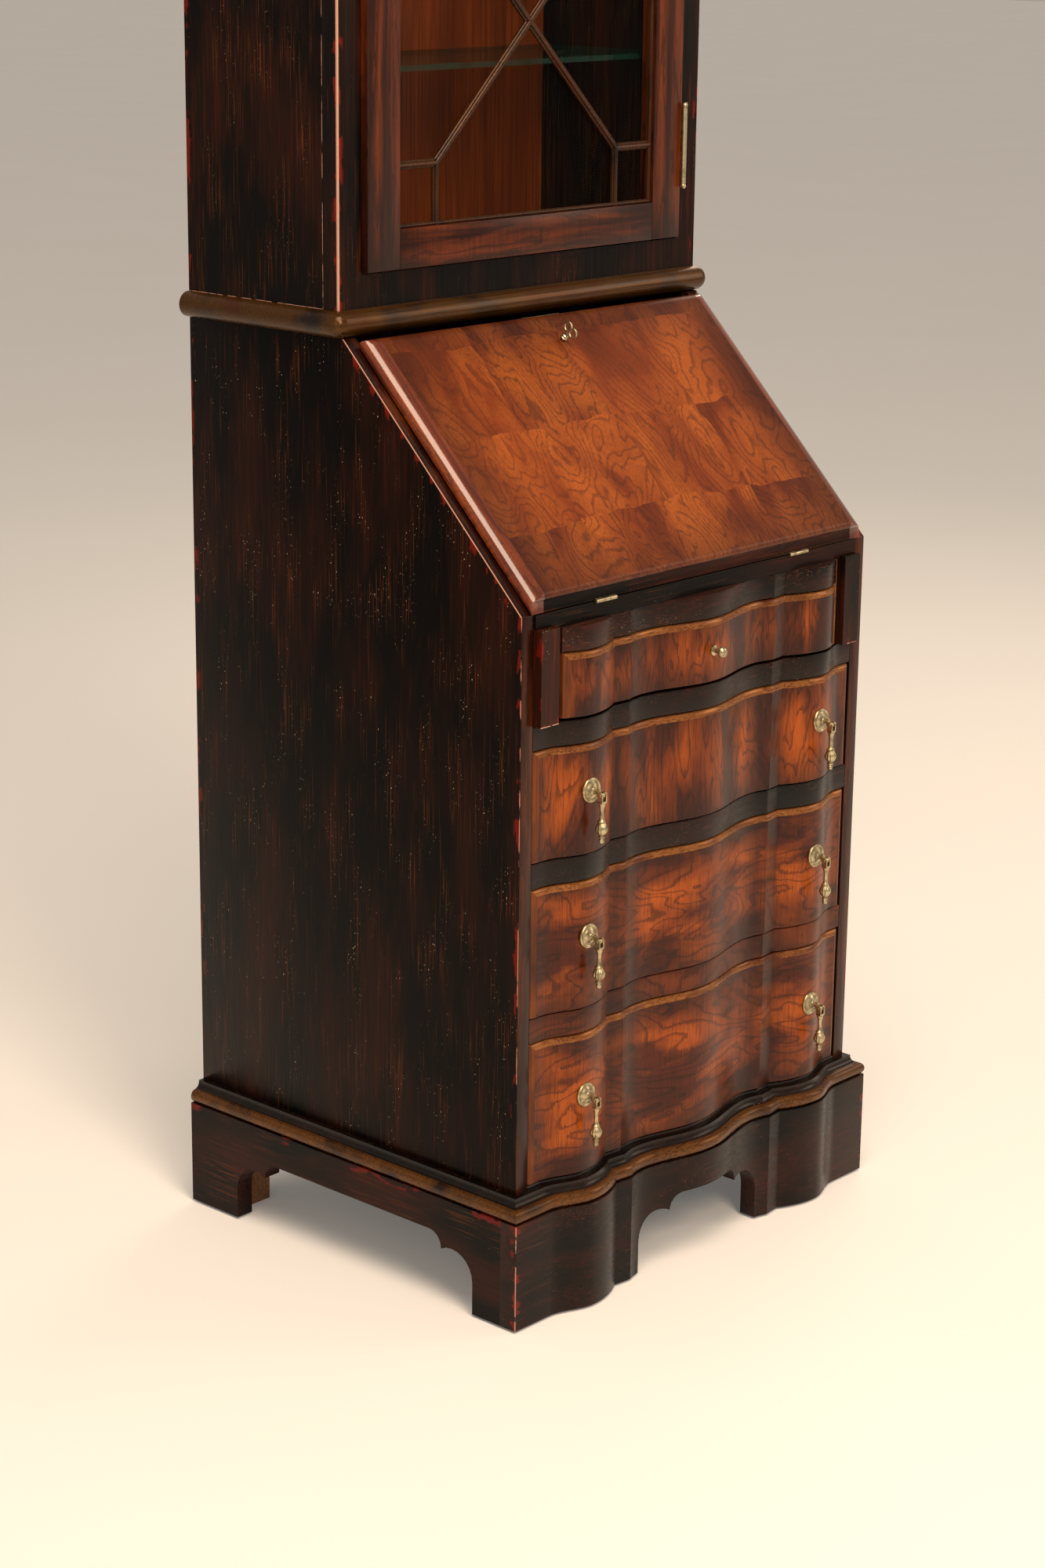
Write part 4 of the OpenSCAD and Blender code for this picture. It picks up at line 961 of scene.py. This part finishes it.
def glazingBars():
    faceY = doorLow.y + (door["barSet"] + door["barThick"]) * mm
    half, middle = openHalf, (openLow + openHigh) / 2
    x = half - door["cornerX"] * mm
    corner, rise = door["cornerZ"] * mm, 2 * door["rise"] * mm
    bead, low, high = beadWidth * mm, openLow + beadWidth * mm / 2, openHigh - beadWidth * mm / 2
    inner = half - bead / 2
    parts = [glazingBar((-half, z), (half, z), faceY, beadWidth) for z in (low, high)]
    parts += [glazingBar((x0, openLow), (x0, openHigh), faceY, beadWidth) for x0 in (-inner, inner)]
    for sx in (-1, 1):
        parts.append(glazingBar((sx * x, middle), (sx * half, middle), faceY))
        for sz in (-1, 1):
            start = openLow if sz < 0 else openHigh
            at = start - sz * corner
            parts.append(glazingBar((sx * x, start), (sx * x, at), faceY))
            parts.append(glazingBar((sx * half, at), (sx * x, at), faceY))
            parts.append(glazingBar((sx * x, at), (-sx * x, at - sz * rise), faceY))
    joined(parts)
    bars = rubbedBronze("bronzed glazing bars", "z", 2.0, "#160a06", "#6b4426", 0.45)
    settled("glazing_bar_lattice", bars, "door", 40, ("glazing_bars",))


doorFrame()
glazingBars()
print("door done")


# Cornice
corniceLow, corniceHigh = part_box("cornice")


def corniceRun():
    out = (corniceHigh.x - caseHalf) / mm
    low, high = corniceLow.z / mm, corniceHigh.z / mm
    rise = high - low
    profile = [(-40, low), (0, low), (3.4, low + 0.4)] + arcPoints(2.6, low + 4.2, 2.4, 3.8, -80, 80, 8)
    profile += arcPoints(2.0 + (out - 6), low + 9.5, -(out - 6), rise * 0.62, 0, 90, 14)
    profile += [(out - 3, low + rise * 0.78), (out - 3, low + rise * 0.80), (out, low + rise * 0.82)]
    profile += [(out, high - 1), (out - 1, high), (-40, high), (-40, low)]
    return profile


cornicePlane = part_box("face_frame")[0].y
corniceWood = rubbedBronze("bronzed cornice", "x", 9.0, "#160c07", "#7d5226", 0.4)
sweepRound("cornice_run", corniceRun(), cornicePlane, False, "case", ("cornice",))
bpy.context.object.data.materials.append(corniceWood)


# Desk sides, and the finishes of the pieces that keep their own shape

def sidePanel(sign, name, material):
    x = sign * innerHalf
    slant = [(0.0, sideLow.z), (backY - frontY, sideLow.z), (backY - frontY, waistZ)]
    slant += [(waistZ - hingeZ, waistZ), (0.0, hingeZ)]
    outline = [Vector((x, frontY + y, z)) for y, z in slant]
    prism(outline, (sign * (caseHalf - innerHalf), 0, 0), 0.9)
    settled(name + "_board", material, "case", 40, (name,))


slantPoint = (0, frontY, hingeZ)
edgeWood = figuredVeneer("rubbed edge of the side panels", 3.0, 0.0, (), rings=5, dark="#120604",
                         middle="#270e07", bright="#5a2a0e", contrast=0.7, size=(30, 90, 300), rough=0.22)
frontPlane = planeAt("y", frontY, 1)
for sign, name in ((-1, "side_left"), (1, "side_right")):
    outer = planeAt("x", sign * caseHalf, -sign)
    arrises = [(outer, frontPlane), (outer, (slantPoint, (0, 0.7071, -0.7071))),
               (outer, planeAt("y", backY, -1))]
    panel = ebonisedLacquer(name + " ebonised panel", "z", arrises, 2.0 + sign, 0.45, 0.45, 0.9, 0.08,
                            [(arrises[0], 1.0, 0.46), (arrises[1], 1.3, 0.12)])
    sidePanel(sign, name, panel)
    board = bpy.context.object
    board.data.materials.append(edgeWood)
    for face in board.data.polygons:
        if face.normal.y < -0.6 and abs(face.normal.x) < 0.3:
            face.material_index = 1
print("sides done")

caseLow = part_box("bookcase_side_left")[0]
for sign, name in ((-1, "bookcase_side_left"), (1, "bookcase_side_right")):
    outer = planeAt("x", sign * caseHalf, -sign)
    back = (outer, planeAt("y", backY, -1))
    joint = (outer, planeAt("y", caseLow.y, 1))
    foot = (outer, planeAt("z", caseLow.z, 1))
    paint(ebonisedLacquer(name + " ebonised panel", "z", [back], 4.0, 0.6, 0.6, 0.3, 0.09,
                          [(joint, 0.9, 0.42), (foot, 0.9, 0.40)]), name)

framePlane = planeAt("y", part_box("face_frame")[0].y, 1)
arrises = [(planeAt("x", sign * caseHalf, -sign), framePlane) for sign in (-1, 1)]
paint(ebonisedLacquer("ebonised face frame", "z", arrises, 6.0, 0.5, 0.3, 0.1, 0.12,
                      [(arrises[0], 3.2, 0.24)]), "face_frame")
paint(rubbedBronze("bronzed waist board", "x", 5.0, "#120904", "#5e3c14", 0.7), "waist_board")
for sign, name, shift in ((-1, "plinth_side_left", 1.0), (1, "plinth_side_right", 5.0)):
    outer = planeAt("x", sign * plinthHigh.x, -sign)
    arrises = [(outer, planeAt("y", frontY - plinthOut, 1)), (outer, planeAt("z", plinthHigh.z, -1))]
    paint(ebonisedLacquer(name + " ebonised board", "y", arrises, shift, 0.9,
                          0.5, 0.2, 0.12, [(arrises[0], 1.6, 0.38)]), name)
paint(ebonisedLacquer("plinth back ebonised board", "x", (), 9.0, 0.7, 0.3, 0.2), "plinth_back")
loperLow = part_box("loper_left")[0]
loperFront = planeAt("y", loperLow.y, 1)
loperFoot = (loperFront, planeAt("z", loperLow.z, 1))
loperEdges = [loperFoot, (loperFront, planeAt("x", loperLow.x, 1))]
paint(ebonisedLacquer("loper left lacquer", "z", loperEdges, 3.0, 3.6, 0.5, 0.8, 0.15,
                      [(loperFoot, 1.5, 0.40)]), "loper_left")
paint(ebonisedLacquer("loper right lacquer", "z", [loperFoot], 8.0, 1.2, 0.3, 0.4, 0.15,
                      [(loperFoot, 1.2, 0.46)]), "loper_right")
paint(ebonisedLacquer("writing bed edge", "x", (), 6.0, 0.5, 0.2, 0.1), "writing_bed")
secondary = plainWood("secondary softwood", "#9a6a3c", "#6f4524", "y", 1.0)
paint(secondary, "corner_blocks", "drawer_guides")
boxWood = plainWood("drawer lining wood", "#a9784a", "#7d5230", "y", 4.0, 0.5)
paint(boxWood, "drawer_1_box", "drawer_2_box", "drawer_3_box", "drawer_4_box")
backWood = plainWood("back panel wood", "#6d4526", "#4a2b16", "z", 2.0, 0.6)
paint(backWood, "case_back")
galleryWood = plainWood("gallery mahogany", "#7a3a1a", "#43190c", "x", 3.0, 0.35)
paint(galleryWood, "gallery")
paint(figuredVeneer("small drawer veneer", 7.0, 0.3, (), rings=7, size=(70, 90, 70)), "gallery_drawer")
paint(plainWood("cabinet back mahogany", "#8a4215", "#552108", "z", 6.0, 0.4), "bookcase_back")
paint(plainWood("cabinet boards mahogany", "#5b2914", "#2c120a", "x", 7.0, 0.36), "bookcase_boards")
paint(floatGlass("shelf glass", "#123a2c", 0.4), "glass_shelves")
paint(floatGlass("door glass", "#0c1411", 0.05), "door_glass")
paint(brassPale, "frame_hinge_leaves", "door_hinge_leaves")
paint(brass, "bed_hinge_leaves", "lid_hinge_leaves", "lid_lock", "lock_bolt")
paint(brass, "door_knob", "drawer_1_knob", "shelf_pins")
paint(mouldedGlide("moulded nylon glide"), "glides")
print("CAD nodes painted")


# Room, light and camera

def softLight(name, place, aim, size, power, colour="#ffe6cc"):
    lamp = bpy.data.lights.new(name, "AREA")
    lamp.shape = "RECTANGLE"
    lamp.size, lamp.size_y = size
    lamp.energy = power
    lamp.color = linear(colour)[:3]
    holder = bpy.data.objects.new(name, lamp)
    bpy.context.scene.collection.objects.link(holder)
    holder.location = place
    holder.rotation_euler = (Vector(aim) - Vector(place)).to_track_quat("-Z", "Y").to_euler()


def paleFloor():
    deselectAll()
    bpy.ops.mesh.primitive_plane_add(size=60)
    floor = bpy.context.object
    floor.name = "studio_floor"
    material, tree, shader, where = startMaterial("pale painted studio floor")
    cloud = blotch(tree, where, (600, 600, 600), 2)
    tree.links.new(layOver(tree, "#f4f2ee", "#efece7", cloud), shader.inputs["Base Color"])
    shader.inputs["Roughness"].default_value = 0.85
    shader.inputs["Emission Color"].default_value = linear("#f2efea")
    shader.inputs["Emission Strength"].default_value = 0.12
    floor.data.materials.append(material)


paleFloor()
scene = bpy.context.scene
world = bpy.data.worlds.new("studio")
world.use_nodes = True
world.node_tree.nodes["Background"].inputs["Color"].default_value = linear("#efe0cf")
world.node_tree.nodes["Background"].inputs["Strength"].default_value = 0.45
scene.world = world
scene.view_settings.view_transform = "Standard"
softLight("key_box", (-1.7, -3.6, 3.3), (0, 0, 0.9), (1.5, 1.5), 95)
softLight("top_box", (-1.1, -1.35, 3.8), (0, -0.1, 0.9), (1.8, 1.8), 95)
softLight("right_back", (2.7, 1.2, 2.6), (0, 0, 0.8), (1.3, 1.3), 22)
softLight("right_fill", (3.4, -2.6, 2.4), (0, 0, 0.9), (1.5, 2.0), 30)
softLight("left_fill", (-3.8, -1.4, 2.2), (0, 0, 0.9), (1.2, 1.8), 14)

camera = bpy.data.cameras.new("camera")
camera.lens = 72.92
camera.sensor_width = 36
holder = bpy.data.objects.new("camera", camera)
scene.collection.objects.link(holder)
turn = Matrix.Rotation(math.radians(-47.904), 4, "Z") @ Matrix.Rotation(math.radians(90 - 16.159), 4, "X")
holder.matrix_world = Matrix.Translation((-2.5701, -2.2905, 1.4895)) @ turn @ Matrix.Rotation(
    math.radians(0.667), 4, "Z")
scene.camera = holder
print("studio ready")
